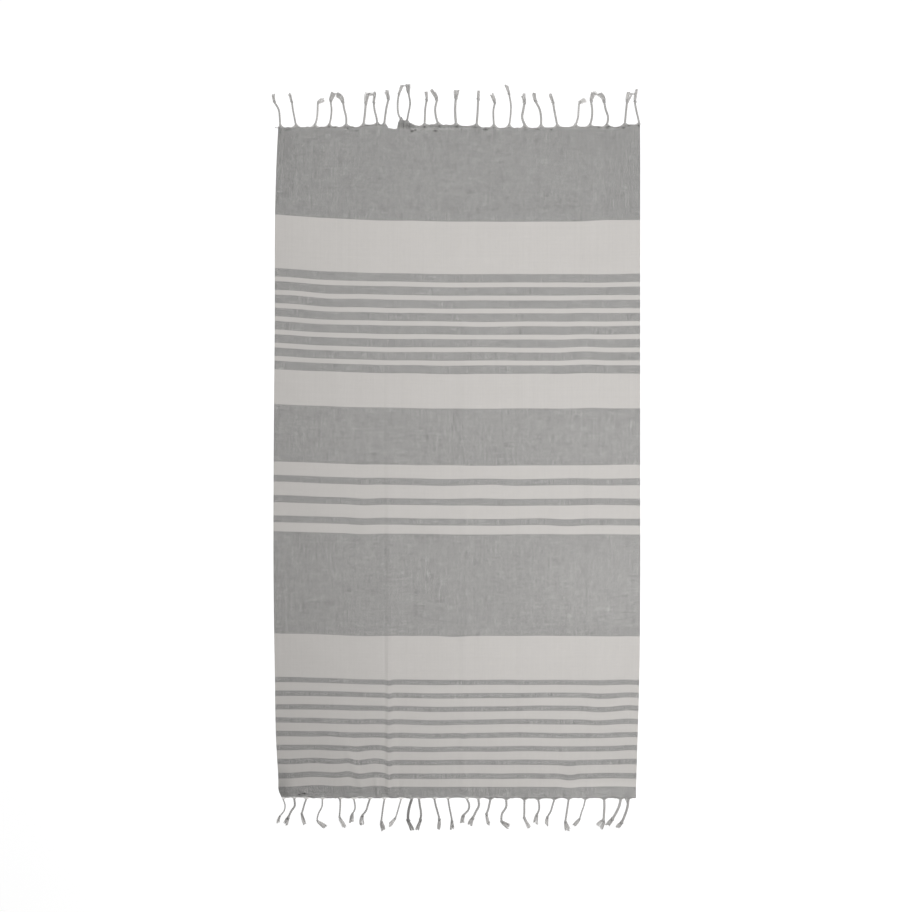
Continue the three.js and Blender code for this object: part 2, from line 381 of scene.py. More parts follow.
# %% Bow, ripples and pulls of the weft
Bow = namedtuple("Bow", "down left right")
BOWS = [
    Bow(0, 0, 0),
    Bow(256, 19, 6),
    Bow(401, 17, 2),
    Bow(560, 15, 2),
    Bow(767, 12.5, 0),
    Bow(920, 10.5, 1),
    Bow(1070, 8, -1),
    Bow(1390, 8.5, 0),
    Bow(1565, 5, 0),
    Bow(1660, 4, 1.5),
    Bow(1770, 2, 1),
    Bow(LENGTH, 0, 0),
]
BOW_LEFT_REACH = 600
BOW_RIGHT_REACH = 200
BOW_LEFT_CURVE = 2.5
BOW_RIGHT_CURVE = 1.5

Ripple = namedtuple("Ripple", "across half rise start")
RIPPLES = [  # small waves that lift the wefts around a line, from `start` down to the near end
    Ripple(-387, 75, 4, 1660),
    Ripple(-277, 22, -2.5, 1640),
    Ripple(-222, 40, 4, 1640),
    Ripple(-186, 14, -3, 1380),
    Ripple(307, 32, -4, 1700),
    Ripple(420, 90, 2, 1700),
]
RIPPLE_FADE = 70

Drag = namedtuple("Drag", "across down wide long rise")
# Broad places where a pull has moved the wefts up the cloth, or down it.
DRAGS = [
    (-346, 512, 120, 200, -2.4), (-400, 1530, 160, 110, 2.8), (-291, 1780, 38, 95, 4.5),
    (-255, 1080, 60, 220, -3), (-50, 1630, 190, 175, -2.8), (60, 1000, 250, 180, -2),
    (390, 1590, 60, 110, -3.3), (470, 1570, 40, 80, 2.5), (345, 640, 70, 220, 2.4),
    (415, 245, 70, 80, 3), (75, 985, 115, 62, 3.8), (-455, 985, 90, 70, 2),
    (-245, 1378, 95, 70, -2.6), (-10, 1378, 45, 60, -2.6), (300, 1078, 60, 50, -2.4),
    (-310, 1750, 48, 60, 3.4), (-355, 1660, 45, 35, 2.6), (320, 1660, 110, 38, -2),
    (100, 982, 40, 25, 2.2), (380, 800, 55, 110, 2.2), (-95, 1078, 70, 40, -1.7),
    (470, 1705, 45, 60, 2.4), (18, 1655, 16, 25, -2.4), (-350, 1799, 95, 22, 2.4),
]  # fmt: skip
DRAGS = [Drag(*row) for row in DRAGS]
print(len(BOWS), "places of the bow,", len(RIPPLES), "ripples and", len(DRAGS), "pulls")

# %% [markdown]
# Three small functions shape such moves: a step without corners, a bell, and a smooth unevenness
# that comes from Blender's own noise and is the same on every run. The moves are then added up
# for each place, and kept off the near end, where the last weft was beaten in straight.

# %% How far each weft is moved
WAVER = 0.8  # no weft is quite straight
WAVER_WIDE, WAVER_LONG = 110, 60
WAVER_FADE_FAR, WAVER_FADE_NEAR = 120, 60
NOISE_REACH = 0.5  # Blender's noise lies between this and its opposite
NEAR_FADE = 45
STRETCH_START = 1500
STRETCH = 1.36e-4
WOVEN_LENGTH = LENGTH - 13.6  # laid() makes it LENGTH again


def soft_step(value, start, stop):
    t = np.clip((value - start) / (stop - start), 0, 1)
    return t * t * (3 - 2 * t)


def bell(distance):
    """1 at no distance, and smoothly down to 0 at distance 1."""
    return (1 - np.minimum(np.abs(distance), 1) ** 2) ** 2


def wave(*places, seed):
    """Smooth unevenness, about -1 to 1, at each of an array's points."""
    shape = np.broadcast_shapes(*(np.shape(p) for p in places))
    flat = [np.broadcast_to(p, shape).ravel() for p in places]
    values = [noise.noise(Vector((x, y, seed))) for x, y in zip(*flat)]
    return np.array(values).reshape(shape) / NOISE_REACH


def weft_lift(across, down):
    """How far up the cloth a weft has been drawn at this place."""
    from_left = np.clip(1 - (across + selvedge("left", down)) / BOW_LEFT_REACH, 0, 1)
    from_right = np.clip(1 - (selvedge("right", down) - across) / BOW_RIGHT_REACH, 0, 1)
    lift = column(BOWS, "left", down) * from_left**BOW_LEFT_CURVE
    lift = lift + column(BOWS, "right", down) * from_right**BOW_RIGHT_CURVE
    for ripple in RIPPLES:
        fade = soft_step(down, ripple.start, ripple.start + RIPPLE_FADE)
        lift = lift + ripple.rise * fade * bell((across - ripple.across) / ripple.half)
    for drag in DRAGS:
        aside, below = (across - drag.across) / drag.wide, (down - drag.down) / drag.long
        lift = lift + drag.rise * bell(np.hypot(aside, below))
    held = soft_step(down, 0, WAVER_FADE_FAR) * soft_step(LENGTH - down, 0, WAVER_FADE_NEAR)
    waver = WAVER * held * wave(across / WAVER_WIDE, down / WAVER_LONG, seed=3.5)
    return lift * soft_step(LENGTH - down, 0, NEAR_FADE) + waver


def laid(woven):
    """How far down the laid cloth a weft lies, from how far down it was woven."""
    return woven + STRETCH * np.maximum(woven - STRETCH_START, 0) ** 2


print("woven length", WOVEN_LENGTH, "lies as", round(float(laid(np.array(WOVEN_LENGTH))), 1), "mm")

# %% [markdown]
# Each tassel has a row of its own in a table, because no two lie alike. It says where the root is,
# how far aside of it the path passes low down, high up and at the knot, how far out the knot lies,
# how far aside of the knot the tip lies, and how far past it. Then come the tuft's width, the
# cord's thickness, how light the cotton is and how much the tuft bends. On the near left that
# lightness is raised as painted light, where the lamps leave the fringe darker.

# %% The tassels
Tassel = namedtuple(
    "Tassel", "at low high knot out tip reach wide cord shade bend", defaults=[3.6, 1, 0]
)
FAR_TASSELS = [
    Tassel(-483, -1, -4, -15.5, 63, -3, 27, 7.5, 3.4),
    Tassel(-439.5, -4.5, -8.5, -11.5, 63, -7, 26, 7.5, 3.3),
    Tassel(-388, 6, 7.5, 9.5, 61, 16, 11, 14.5, 3.5, 1.2),
    Tassel(-349, 5, 6.5, 4.5, 64, 10, 28, 14, 3.3),
    Tassel(-302.5, 0, -5, -9, 62, -21, 24, 12, 3.7, 1.05, 6),
    Tassel(-255.5, 3, 5, 6.5, 59, 7.5, 36, 15, 4.1, 1.04, -2),
    Tassel(-217, -3, -8, -10, 61, 3.5, 37, 7),
    Tassel(-199, 3, 6.5, 11.5, 71, -7.5, 27, 10.5, 3.8),
    Tassel(-152, -7.5, -10, -6.5, 84, 9.5, 28, 6.5, 3.4),
    Tassel(-137, 4, 9, 4.5, 88, -2, 26, 15, 3.3, 0.86),
    Tassel(-88.5, 1, 2, 5.5, 68, -3, 32, 10),
    Tassel(-51, -6.5, -8.5, -4.5, 68, -14, 31, 10.5, 3.8),
    Tassel(-2.5, -2, -2.5, -0.5, 73, 1.5, 30, 15, 4.4),
    Tassel(53.5, 2, 3.5, 4.5, 70, 1, 26, 6.5, 4.0),
    Tassel(101, -1.5, -1.5, 2, 61, -9.5, 27, 9, 3.5),
    Tassel(142.5, 4, 4.5, -0.5, 84, -10, 32, 7.5, 3.3),
    Tassel(185.5, -7.5, -4.5, -1.5, 61, -5.5, 27, 12, 4.3),
    Tassel(229.5, 0, -4, -14.5, 64, -5.5, 27, 10.5, 4.0),
    Tassel(274, -4.5, -8.5, -12, 61, -10.5, 30, 10.5, 3.9),
    Tassel(323, 7.5, 9, 12, 61, 19, 10, 14.5, 3.7, 1.15),
    Tassel(363, 5.5, 6, 3.5, 65, 10, 31, 14.5, 3.9),
    Tassel(409, 3.5, -3, -7.5, 63, -21, 25, 13.5, 3.8, 1, 6),
    Tassel(458, 2, 4, 6.5, 63, 9, 31, 15.5, 3.8),
    Tassel(498, -4, -9, -12, 63, 5, 37, 7.5),
]
NEAR_TASSELS = [
    # The raised lightness of the first near rows is partly painted light, where the lamps leave the
    # near left darker.
    Tassel(-474.5, 5, 3, -8.5, 46, -6.5, 23, 9, 2.5, 1.25),
    Tassel(-444, 1.5, -9, -16.5, 50, -9, 23, 13.5, 3.8, 1.05),
    Tassel(-411.5, -5, -8.5, -12, 40, 9, 33, 8.5, 3.3, 1.1),
    Tassel(-367.5, -1, -10.5, -13.5, 58.5, 27, 20.5, 14, 2.7, 1.15),
    Tassel(-318.5, 0, -1, -1.5, 49, 16, 31, 10, 3.1, 1.1),
    Tassel(-281.5, 3, 3, -3.5, 40, -3.5, 30, 13, 2.9, 1.15),
    Tassel(-238, -5, -9.5, -19.5, 44.5, 0.5, 29, 11, 3.5, 0.96, -1.5),
    Tassel(-198, -3.5, -6, -8, 60, 7, 28, 11, 3.3, 1.12),
    Tassel(-152.5, -5, -10, -16, 52, -18.5, 24, 10, 2.8, 1.15),
    Tassel(-123.5, -6, -9.5, -9.5, 57, 14, 30, 10.5, 4.8, 0.6),
    Tassel(-103.5, 2.5, 5.5, 4, 55, -11, 31, 8.5, 3.9, 0.85),
    Tassel(-61.5, 4, 9, 13.5, 54, -1, 33, 11.5, 3.5, 0.86),
    Tassel(-24, 3, 7, 10.5, 59, 1, 28, 12, 3.2, 0.9),
    Tassel(27.5, 6, 3.5, -9, 43.5, -3, 27, 11),
    Tassel(58.5, 1.5, -7, -15, 51, -10.5, 24, 14, 4.1),
    Tassel(91.5, -3, -6, -10.5, 41, 8.5, 34, 9, 3.8),
    Tassel(134.5, 0, -11.5, -12, 60.5, 26, 20, 12.5, 3.9),
    Tassel(184.5, -0.5, -0.5, -0.5, 51, 13.5, 29, 9, 3.7),
    Tassel(222, 2.5, 2, -4, 43, -4.5, 28, 13, 3.6),
    Tassel(266, -5, -10, -19, 49, -2, 26, 8.5, 3.3),
    Tassel(305, -3, -6, -8.5, 61, 9, 29, 12, 3.6),
    Tassel(350.5, -4, -10.5, -16, 54, -18, 23, 9.5, 2.8),
    Tassel(402, 0.5, -0.5, -2.5, 57, -14.5, 21, 24, 4.2),
    Tassel(447, -4, -12, -22.5, 53, -16, 22, 13.5, 4.7),
    Tassel(468, -2.5, -9, -18, 62, -15, 21, 10, 4.5),
]
print(len(FAR_TASSELS), "tassels at the far end and", len(NEAR_TASSELS), "at the near one")

# %% [markdown]
# The cloth's ends aren't cut edges. Between the tassels the last weft lies where it was beaten in,
# but at each root the gathered threads have pulled it out, and over two stretches of the far end
# the last wefts have slid out with them. Beside a short straight notch one pair of tassels has
# dragged the cloth to a ragged peak. A table of points gives each end, and each root adds a bump.

# %% Where the two ends of the cloth lie
FAR_END_POINTS = [  # across, and how far out past the end's own line
    (-487, 2), (-450, 2), (-400, 3.3), (-347, 3.3), (-340, 5), (-331, 4.4), (-317, 3.5), (-305, 5.6),
    (-295, 6), (-280, 3), (-268, 3.6), (-256, 8.5), (-240, 10), (-225, 10), (-200, 10), (-192, 9.5),
    (-187.5, -1.2), (-163.5, -1.2), (-161.8, 12), (-159.5, 17), (-155.5, 24), (-145, 20.5),
    (-134, 15.5), (-121.5, 9), (-109, 6.5), (-90, 8), (-67, 10), (-45, 9.5), (-7, 8.5), (5, 8),
    (18, 5), (30, 5.5), (45, 8), (58, 5), (68, 1.5), (95, 2), (119, 0.5), (130, 1), (200, 0.8),
    (250, 1.5), (299, 3), (343, 4), (366, 4), (373, 6), (381, 5.6), (390, 3.7), (409, 4.4),
    (417, 5.6), (428, 3), (444, 4), (452, 7.5), (462, 9), (470, 9.5), (488, 10), (497, 9.6),
]  # fmt: skip
NEAR_END_POINTS = [
    (-440, -0.5), (-345, 1.2), (-236, 0.7), (-127, 0.8), (-18, 0), (92, 0.3), (200, 1.2),
    (310, 0.3), (425, 0.7),
]  # fmt: skip
FAR_PULL = [(0, 2)]  # across, and how far the roots there pull the last weft out
NEAR_PULL = [(40, -1.6), (85, 3)]  # on the left the roots have sunk in
ROUGH = 0.9  # how far the last weft strays
ROUGH_ROW = 0.5  # the row of the noise that it follows

End = namedtuple("End", "tassels line pull root_half rough_size rough_seed")
ENDS = {
    "far": End(FAR_TASSELS, FAR_END_POINTS, FAR_PULL, 8, 9, 2.9),
    "near": End(NEAR_TASSELS, NEAR_END_POINTS, NEAR_PULL, 12, 8, 6.4),
}


def between(points, at):
    """The value at a place, straight between a table's points."""
    places, values = zip(*points)
    return np.interp(at, places, values)


def end_line(name, across):
    """How far out past its own straight line one end of the cloth lies."""
    end = ENDS[name]
    root = np.max([bell((across - row.at) / end.root_half) for row in end.tassels], axis=0)
    rough = ROUGH * wave(across / end.rough_size, ROUGH_ROW, seed=end.rough_seed)
    return between(end.line, across) + between(end.pull, across) * root + rough


print("the far end reaches", max(out for _, out in FAR_END_POINTS), "mm past its line at the peak")

# %% [markdown]
# The towel has been folded for storage, so long soft creases run down it, and a few short ones
# slant where it was crushed. A crease is a low ridge with one side steeper than the other.
# Between the creases thin cloth never lies perfectly flat: a slow unevenness of less than a
# millimetre is added, and it all dies away at the ends. At the dragged peak the cloth is
# gathered in small pleats, which a sine wave gives.

# %% Relief of the cloth
Crease = namedtuple("Crease", "x1 down1 high1 x2 down2 high2 left right")
CREASES = [
    Crease(-187, 640, 0.5, -186, 1815, 2.2, 12, 34),
    Crease(18, 15, 0.5, 20, 1815, 0.9, 16, 26),
    Crease(175, 15, 0.5, 176, 1815, 0.8, 16, 26),
    Crease(359, 15, 0.7, 360, 1815, 0.8, 16, 26),
    Crease(447, 1427, 1.0, 411, 1509, 2.2, 13, 30),
    Crease(411, 1509, 2.2, 365, 1619, 1.2, 13, 30),
    Crease(-354, 40, 2.0, -384, 163, 1.0, 30, 14),
    Crease(-302, 1701, 1.0, -264, 1796, 2.0, 12, 24),
    Crease(-222, 1780, 0.8, -219, 1818, 2.0, 7, 10),
    Crease(-425, 1812, 2.4, -406, 1820, 1.8, 8, 10),
]
UNEVEN = 0.55
UNEVEN_WAVES = [(90, 160, 7.1, 1), (34, 90, 1.3, 0.5)]  # size across and down, seed and share
END_FADE = 14
CLOTH_THICK = 1.2
PLEAT_FROM, PLEAT_TO, PLEAT_DOWN = -161, -112, 4  # where the dragged peak is gathered
PLEAT_RISE, PLEAT_FALL = 6, 20  # how soon the pleats begin and end
PLEAT_HIGH, PLEAT_PITCH, PLEAT_SLANT = 0.8, 7, 0.3


def ridge(crease, across, down):
    """How high one crease stands at each place."""
    start = np.array([crease.x1, crease.down1])
    line = np.array([crease.x2, crease.down2]) - start
    length = np.hypot(*line)
    dx, dy = across - start[0], down - start[1]
    share = np.clip((dx * line[0] + dy * line[1]) / length**2, 0, 1)
    aside = dx - share * line[0]
    off = np.hypot(aside, dy - share * line[1])
    half = np.where(aside < 0, crease.left, crease.right)
    return (crease.high1 + share * (crease.high2 - crease.high1)) * bell(off / half)


def pleats(across, down):
    """How high the pleats of the dragged peak stand at each place."""
    begun = soft_step(across, PLEAT_FROM, PLEAT_FROM + PLEAT_RISE)
    gathered = begun * soft_step(PLEAT_TO - across, 0, PLEAT_FALL)
    gathered = gathered * soft_step(PLEAT_DOWN + END_FADE - down, 0, END_FADE)
    turns = (across + PLEAT_SLANT * down) / PLEAT_PITCH
    return PLEAT_HIGH * (0.5 + 0.5 * np.sin(turns * math.tau)) * gathered


def relief(across, down):
    """How high above the floor the underside of the cloth lies."""
    creases = np.max([ridge(crease, across, down) for crease in CREASES], axis=0)
    slow = sum(share * wave(across / x, down / y, seed=seed) for x, y, seed, share in UNEVEN_WAVES)
    uneven = UNEVEN * np.clip(slow, 0, None)
    fade = soft_step(np.minimum(down, LENGTH - down), 0, END_FADE)
    return (creases + uneven) * fade + pleats(across, down)


print(len(CREASES), "creases, the highest", max(max(c.high1, c.high2) for c in CREASES), "mm")

# %% [markdown]
# Now the cloth can be made: a grid of points, evenly spaced over most of it and closer together
# near the ends and at the ragged peak, where its shape turns quickly. A point is given by its
# share of the way across and by how far down it was woven, and the functions above move it to
# where it lies.

# %% The points of the cloth
COLUMNS = 252
ROWS = 108
END_ROWS = 14
END_ZONE = 26
FINE_FROM, FINE_TO, FINE_STEP = -196, -104, 1.6
FINE_WIDTH = 984  # the fine columns are shares of this
LEAST_GAP = 0.001  # between the even columns and the fine ones


def grid_columns():
    """Shares of the way from the left selvedge to the right one."""
    even = np.linspace(0, 1, COLUMNS + 1)
    fine = (np.arange(FINE_FROM, FINE_TO, FINE_STEP) + selvedge("left", 0)) / FINE_WIDTH
    outside = (even < fine[0] - LEAST_GAP) | (even > fine[-1] + LEAST_GAP)
    return np.sort(np.concatenate([even[outside], fine]))


def grid_rows():
    """Places down the cloth as it was woven."""
    near_start = WOVEN_LENGTH - END_ZONE
    far_rows = np.linspace(0, END_ZONE, END_ROWS, endpoint=False)
    middle_rows = np.linspace(END_ZONE, near_start, ROWS, endpoint=False)
    return np.concatenate([far_rows, middle_rows, np.linspace(near_start, WOVEN_LENGTH, END_ROWS + 1)])


def cloth_points(share, woven):
    """Where points of the loom's cloth lie, as across, down and height of the underside."""
    down = laid(woven)
    left = selvedge("left", down)
    across = share * (left + selvedge("right", down)) - left
    height = relief(across, down)
    down = down - weft_lift(across, down)
    far_pull = soft_step(END_ZONE - woven, 0, END_ZONE)
    near_pull = soft_step(woven - (WOVEN_LENGTH - END_ZONE), 0, END_ZONE)
    down = down - end_line("far", across) * far_pull + end_line("near", across) * near_pull
    return across, down, height


share, woven = np.meshgrid(grid_columns(), grid_rows())
across, down, height = cloth_points(share, woven)
rows, columns = share.shape
print("cloth:", rows, "x", columns, "points")

# %% [markdown]
# The cloth is one closed sheet. Its top and its underside follow the same relief, a thread's
# thickness apart, and a wall joins them all round. Each point also keeps its place on the loom in
# a UV map, in metres, and that is what the weave and the stripes are drawn from, so they bow and
# stretch with the cloth.

# %% The woven cloth
CUT_WIDTH = 1000

top = in_place(across, down, height + CLOTH_THICK).reshape(-1, 3)
under = in_place(across, down, height).reshape(-1, 3)
number = np.arange(rows * columns).reshape(rows, columns)
first, right = number[:-1, :-1].ravel(), number[:-1, 1:].ravel()
below, across_below = number[1:, :-1].ravel(), number[1:, 1:].ravel()
top_faces = np.stack([first, below, across_below, right], axis=1)
under_faces = top_faces[:, ::-1] + rows * columns
rim = np.concatenate([number[0, :-1], number[:-1, -1], number[-1, :0:-1], number[:0:-1, 0]])
after = np.roll(rim, -1)
wall_faces = np.stack([rim, after, after + rows * columns, rim + rows * columns], axis=1)
faces = np.concatenate([top_faces, under_faces, wall_faces])

cloth_mesh = bpy.data.meshes.new("cloth_weave")
cloth_mesh.from_pydata(np.concatenate([top, under]), [], faces.tolist())
cloth_mesh.shade_smooth()
cut_map = cloth_mesh.uv_layers.new(name="cut")
corners = np.zeros(len(cloth_mesh.loops), dtype=int)
cloth_mesh.loops.foreach_get("vertex_index", corners)
places = np.stack([share.ravel() * CUT_WIDTH, woven.ravel()], axis=1) * MM
cut_map.data.foreach_set("uv", places[corners % (rows * columns)].ravel())

cloth = bpy.data.objects.new("cloth_weave", cloth_mesh)
scene.collection.objects.link(cloth)
print("a closed sheet of", len(faces), "faces")

# %% [markdown]
# The rim of the sheet is rounded by a narrow bevel, because threads turn round there and no
# woven edge is sharp. The bevel is applied, so the finished piece is a plain mesh.

# %% Round the rim
RIM_ROUND = 0.4
RIM_STEPS = 2
RIM_ANGLE = 50


def apply_modifiers(obj):
    """Puts the result of an object's modifiers in place of its mesh, and counts its triangles."""
    depsgraph = bpy.context.evaluated_depsgraph_get()
    made = bpy.data.meshes.new_from_object(obj.evaluated_get(depsgraph), depsgraph=depsgraph)
    made.name = obj.data.name
    obj.modifiers.clear()
    obj.data = made
    print(obj.name, "has", sum(len(p.vertices) - 2 for p in made.polygons), "triangles")


rounding = cloth.modifiers.new("round the rim", "BEVEL")
rounding.limit_method = "ANGLE"
rounding.angle_limit = math.radians(RIM_ANGLE)
rounding.width = RIM_ROUND * MM
rounding.segments = RIM_STEPS
apply_modifiers(cloth)

# %% [markdown]
# ## How the cloth is finished
# A run of stripes is the same stripe again and again at an even pitch. One shader group draws a
# run from a few numbers, and the towel's whole design is seven runs. The group finds the stripe
# nearest to a place and answers how much of that place is grey weft, with a slightly soft edge.

# %% Shader group: a run of stripes
stripe_run, take = new_group(
    "run of stripes",
    "ShaderNodeTree",
    {"Down": 0.0, "Start": 0.0, "Pitch": 36.0, "Width": 20.0, "Count": 8.0, "Soft": 0.5},
)
half = take["Width"] * 0.5
from_first = take["Down"] - take["Start"] - half
nearest = reckon("ROUND", from_first / take["Pitch"])
nearest = reckon("MAXIMUM", reckon("MINIMUM", nearest, take["Count"] - 1), 0)
off = reckon("ABSOLUTE", from_first - nearest * take["Pitch"])
mask = reckon("MULTIPLY_ADD", (half - off) / take["Soft"], 0.5, 0.5, clamp=True)
finish_group(stripe_run, {"Mask": mask})

# %% [markdown]
# In a plain weave every weft thread goes over one warp thread and under the next. Two sine waves
# multiplied give exactly that chequer: positive where the warp is on top, negative where the
# weft is. The size of the same product, softened, is the height of the thread.

# %% Shader group: a plain weave
WEFT_COVER = 0.13  # the weft is beaten in closely, so it shows a little more than the warp
THREAD_EDGE = 6  # how sharply one thread gives way to the other
THREAD_ROUND = 0.6
SHIVER_SCALE = 0.22

plain_weave, take = new_group(
    "plain weave",
    "ShaderNodeTree",
    {"Across": 0.0, "Down": 0.0, "Warp Pitch": 0.7, "Weft Pitch": 0.6, "Unevenness": 0.2},
)
place = add(plain_weave, "ShaderNodeCombineXYZ", {"X": take["Across"], "Y": take["Down"]})[0]
shiver = soft_noise(place, SHIVER_SCALE, detail=1)["Color"]
shift = add(plain_weave, "ShaderNodeSeparateColor", {"Color": shiver})
warp_turns = (shift[0] * take["Unevenness"] + take["Across"]) / take["Warp Pitch"]
weft_turns = (shift[1] * take["Unevenness"] + take["Down"]) / take["Weft Pitch"]
chequer = reckon("SINE", warp_turns * math.pi) * reckon("SINE", weft_turns * math.pi)
on_top = reckon("MULTIPLY_ADD", WEFT_COVER - chequer, THREAD_EDGE, 0.5, clamp=True)
high = reckon("ABSOLUTE", chequer) ** THREAD_ROUND
finish_group(plain_weave, {"Weft On Top": on_top, "Height": high})

# %% [markdown]
# Hand-spun cotton is thicker in some places than in others. Such slubs show as short pale and
# dark dashes, along the weft and along the warp, gathered in patches. Noise that is stretched one
# way gives dashes in that direction, and the two directions are added. Stretched much further, the
# same noise gives the streaks that the reed and the beat of the loom leave from side to side.

# %% Shader group: slubs
NOISE_GAIN = 4  # brings the noise to about -1 to 1
PATCH_GAIN, PATCH_SHARE = 0.6, 0.35
STREAK_WIDE, STREAK_LONG = 3.0, 500
BEAT_SHARE = 0.75  # how strong the beat's streaks are beside the reed's

slubs, take = new_group(
    "slubs",
    "ShaderNodeTree",
    {"Across": 0.0, "Down": 0.0, "Length": 26.0, "Thickness": 3.6, "Patch": 22.0},
)


def stretched(x_size, y_size, seed):
    """Noise about -1 to 1, as long across and down as it is told."""
    inputs = {"X": take["Across"] / x_size, "Y": take["Down"] / y_size, "Z": seed}
    place = add(slubs, "ShaderNodeCombineXYZ", inputs)[0]
    return (soft_noise(place, scale=1, detail=1)["Fac"] - 0.5) * NOISE_GAIN


def patches(seed):
    """Where the dashes gather: 0 to 1."""
    spots = stretched(take["Patch"], take["Patch"], seed)
    return reckon("MULTIPLY_ADD", spots, PATCH_GAIN, PATCH_SHARE, clamp=True)


weft_way = stretched(take["Length"], take["Thickness"], seed=0.3) * patches(seed=4.1)
warp_way = stretched(take["Thickness"], take["Length"], seed=9.7) * patches(seed=7.9)
reed_lines = stretched(STREAK_WIDE, STREAK_LONG, seed=2.2)
beat_lines = stretched(STREAK_LONG, STREAK_WIDE, seed=5.6)
finish_group(slubs, {"Dashes": weft_way + warp_way, "Streaks": beat_lines * BEAT_SHARE + reed_lines})

# %% [markdown]
# Where the cloth's end has been dragged, its wefts are crowded together and the small folds hold
# shadow, so it looks darker there in spots and streaks: that darkening is painted shade, as are the
# dark gaps at the roots of the far end, the dark folds along the near end and the darker near left
# corner. The far left corner is a little darker too. Elsewhere the wefts stand apart instead and
# the pale warp shows. Each is a soft oval that darkens the cloth, or lightens it where its depth
# is below 0. The light spots on the near left edge are painted highlights, and a few broad ovals
# on the right are painted light. A few ovals as wide as the towel stand for whole rows: the first
# wefts and those before the last lie open, and the darkened last one is painted shade.

# %% Crowded and open places of the weft, with painted light and shade
Spot = namedtuple("Spot", "across down wide long depth")
WEFT_AND_PAINTED_LIGHT_SPOTS = [
    # Dark marks at the far end: painted shadow in the gaps at the roots and in the folds of the dragged
    # peak.
    (-299, 1.5, 3.5, 4.5, 0.7), (-292, -6.5, 6, 3.5, 0.55), (-284, -2.5, 7, 3, 0.4),
    (-339, -4, 5, 3, 0.65), (-333, -1.5, 5, 3, 0.55), (-246, -8, 7, 3.5, 0.65),
    (-212, -9, 6, 3.5, 0.5), (-461, 5, 16, 5, 0.33), (-385, 8, 7, 3.5, 0.2), (-273, 8, 8, 4.5, 0.4),
    (-150, -9, 16, 18, 0.3), (-128, -5, 24, 12, 0.3), (-158.5, -6, 2.5, 22, 0.25),
    (-146, -9, 1.8, 20, 0.25), (-137, -8, 1.8, 18, 0.25), (-130, -6, 1.8, 14, 0.25),
    (-123, 9, 7, 5, 0.75), (-113, 5.5, 7, 4.5, 0.65), (-89, -2.5, 6, 5.5, 0.55),
    (-48, -4, 5, 5.5, 0.5), (-59, 8.5, 8, 4, 0.65), (0, -2.7, 8, 5.5, 0.5), (12, 4, 4, 5, 0.4),
    (48, -1, 13, 4, 0.45), (78, 4, 12, 5, 0.6), (187, 4, 10, 4, 0.35), (220, 4, 8, 4, 0.5),
    (258, 5, 9, 4, 0.5), (411, 1, 8, 4, 0.5), (455, 0, 8, 4, 0.62), (387, -0.5, 6, 3.5, 0.55),
    (414, -4, 6, 4, 0.55), (440, -2, 5, 3.5, 0.55), (469, -6, 5, 3.5, 0.7), (497, -6, 6, 6, 0.45),
    (-372, -1, 4, 3, 0.5), (-350, -3, 8, 3, 0.45), (-264, -4, 8, 3, 0.5), (-221, -7, 5, 4, 0.4),
    (102, -1.5, 8, 3, 0.25), (146, -1, 6, 3, 0.45), (186, -1, 6, 3, 0.35), (-40, -5, 90, 6, 0.15),
    (-60, 4, 130, 4, -0.18), (-215, -5, 20, 5, -0.2), (-470, 40, 40, 70, 0.08),
    # The near end: a darker near left corner and dark folds are painted shade; its lighter spots on the
    # left edge are painted highlights.
    (-480, 1800, 40, 70, 0.23), (-430, 1821, 7, 3, 0.8), (-418, 1818, 10, 3, 0.8),
    (-409, 1824.5, 8, 3, -0.3), (-262, 1824, 7, 3, -0.25), (-221, 1812, 2.5, 20, 0.45),
    (-405, 1827, 16, 3, 0.4), (-98, 1828, 8, 3, 0.35), (108, 1828, 10, 3, 0.25),
    (-464, 1829, 13, 3.5, -0.35), (-414, 1829.5, 24, 3, -0.35), (-264, 1828.5, 8, 4, -0.35),
    # Broad ovals that lighten the right side: painted light.
    (420, 845, 260, 110, -0.04), (430, 1245, 300, 190, -0.07), (400, 1812, 260, 40, -0.11),
]  # fmt: skip
WEFT_AND_PAINTED_LIGHT_SPOTS = [Spot(*row) for row in WEFT_AND_PAINTED_LIGHT_SPOTS]
ALL_ACROSS = 3000
# Whole rows; the dark last row along the near edge is painted shade.
WEFT_AND_PAINTED_LIGHT_SPOTS += [
    Spot(0, 2, ALL_ACROSS, 5, -0.07),
    Spot(0, LENGTH - 3.5, ALL_ACROSS, 4.5, -0.12),
    Spot(0, LENGTH, ALL_ACROSS, 2.5, 0.2),
]
print(len(WEFT_AND_PAINTED_LIGHT_SPOTS), "crowded or open places")

# %% [markdown]
# One shader group draws an oval and adds it to the ones so far. It is placed once for each spot,
# so the spots form a chain that starts at no shade at all.

# %% Shader group: a soft oval
soft_oval, take = new_group(
    "soft oval",
    "ShaderNodeTree",
    {
        "Place": (0.0, 0.0, 0.0),
        "Centre": (0.0, 0.0, 0.0),
        "Shrink": (1.0, 1.0, 0.0),
        "Depth": 0.5,
        "So Far": 0.0,
    },
)
off = vector("MULTIPLY", vector("SUBTRACT", take["Place"], take["Centre"]), take["Shrink"])
inside = reckon("SUBTRACT", 1, vector("DOT_PRODUCT", off, off, output="Value"), clamp=True)
finish_group(soft_oval, {"Shade": take["So Far"] + inside * inside * take["Depth"]})


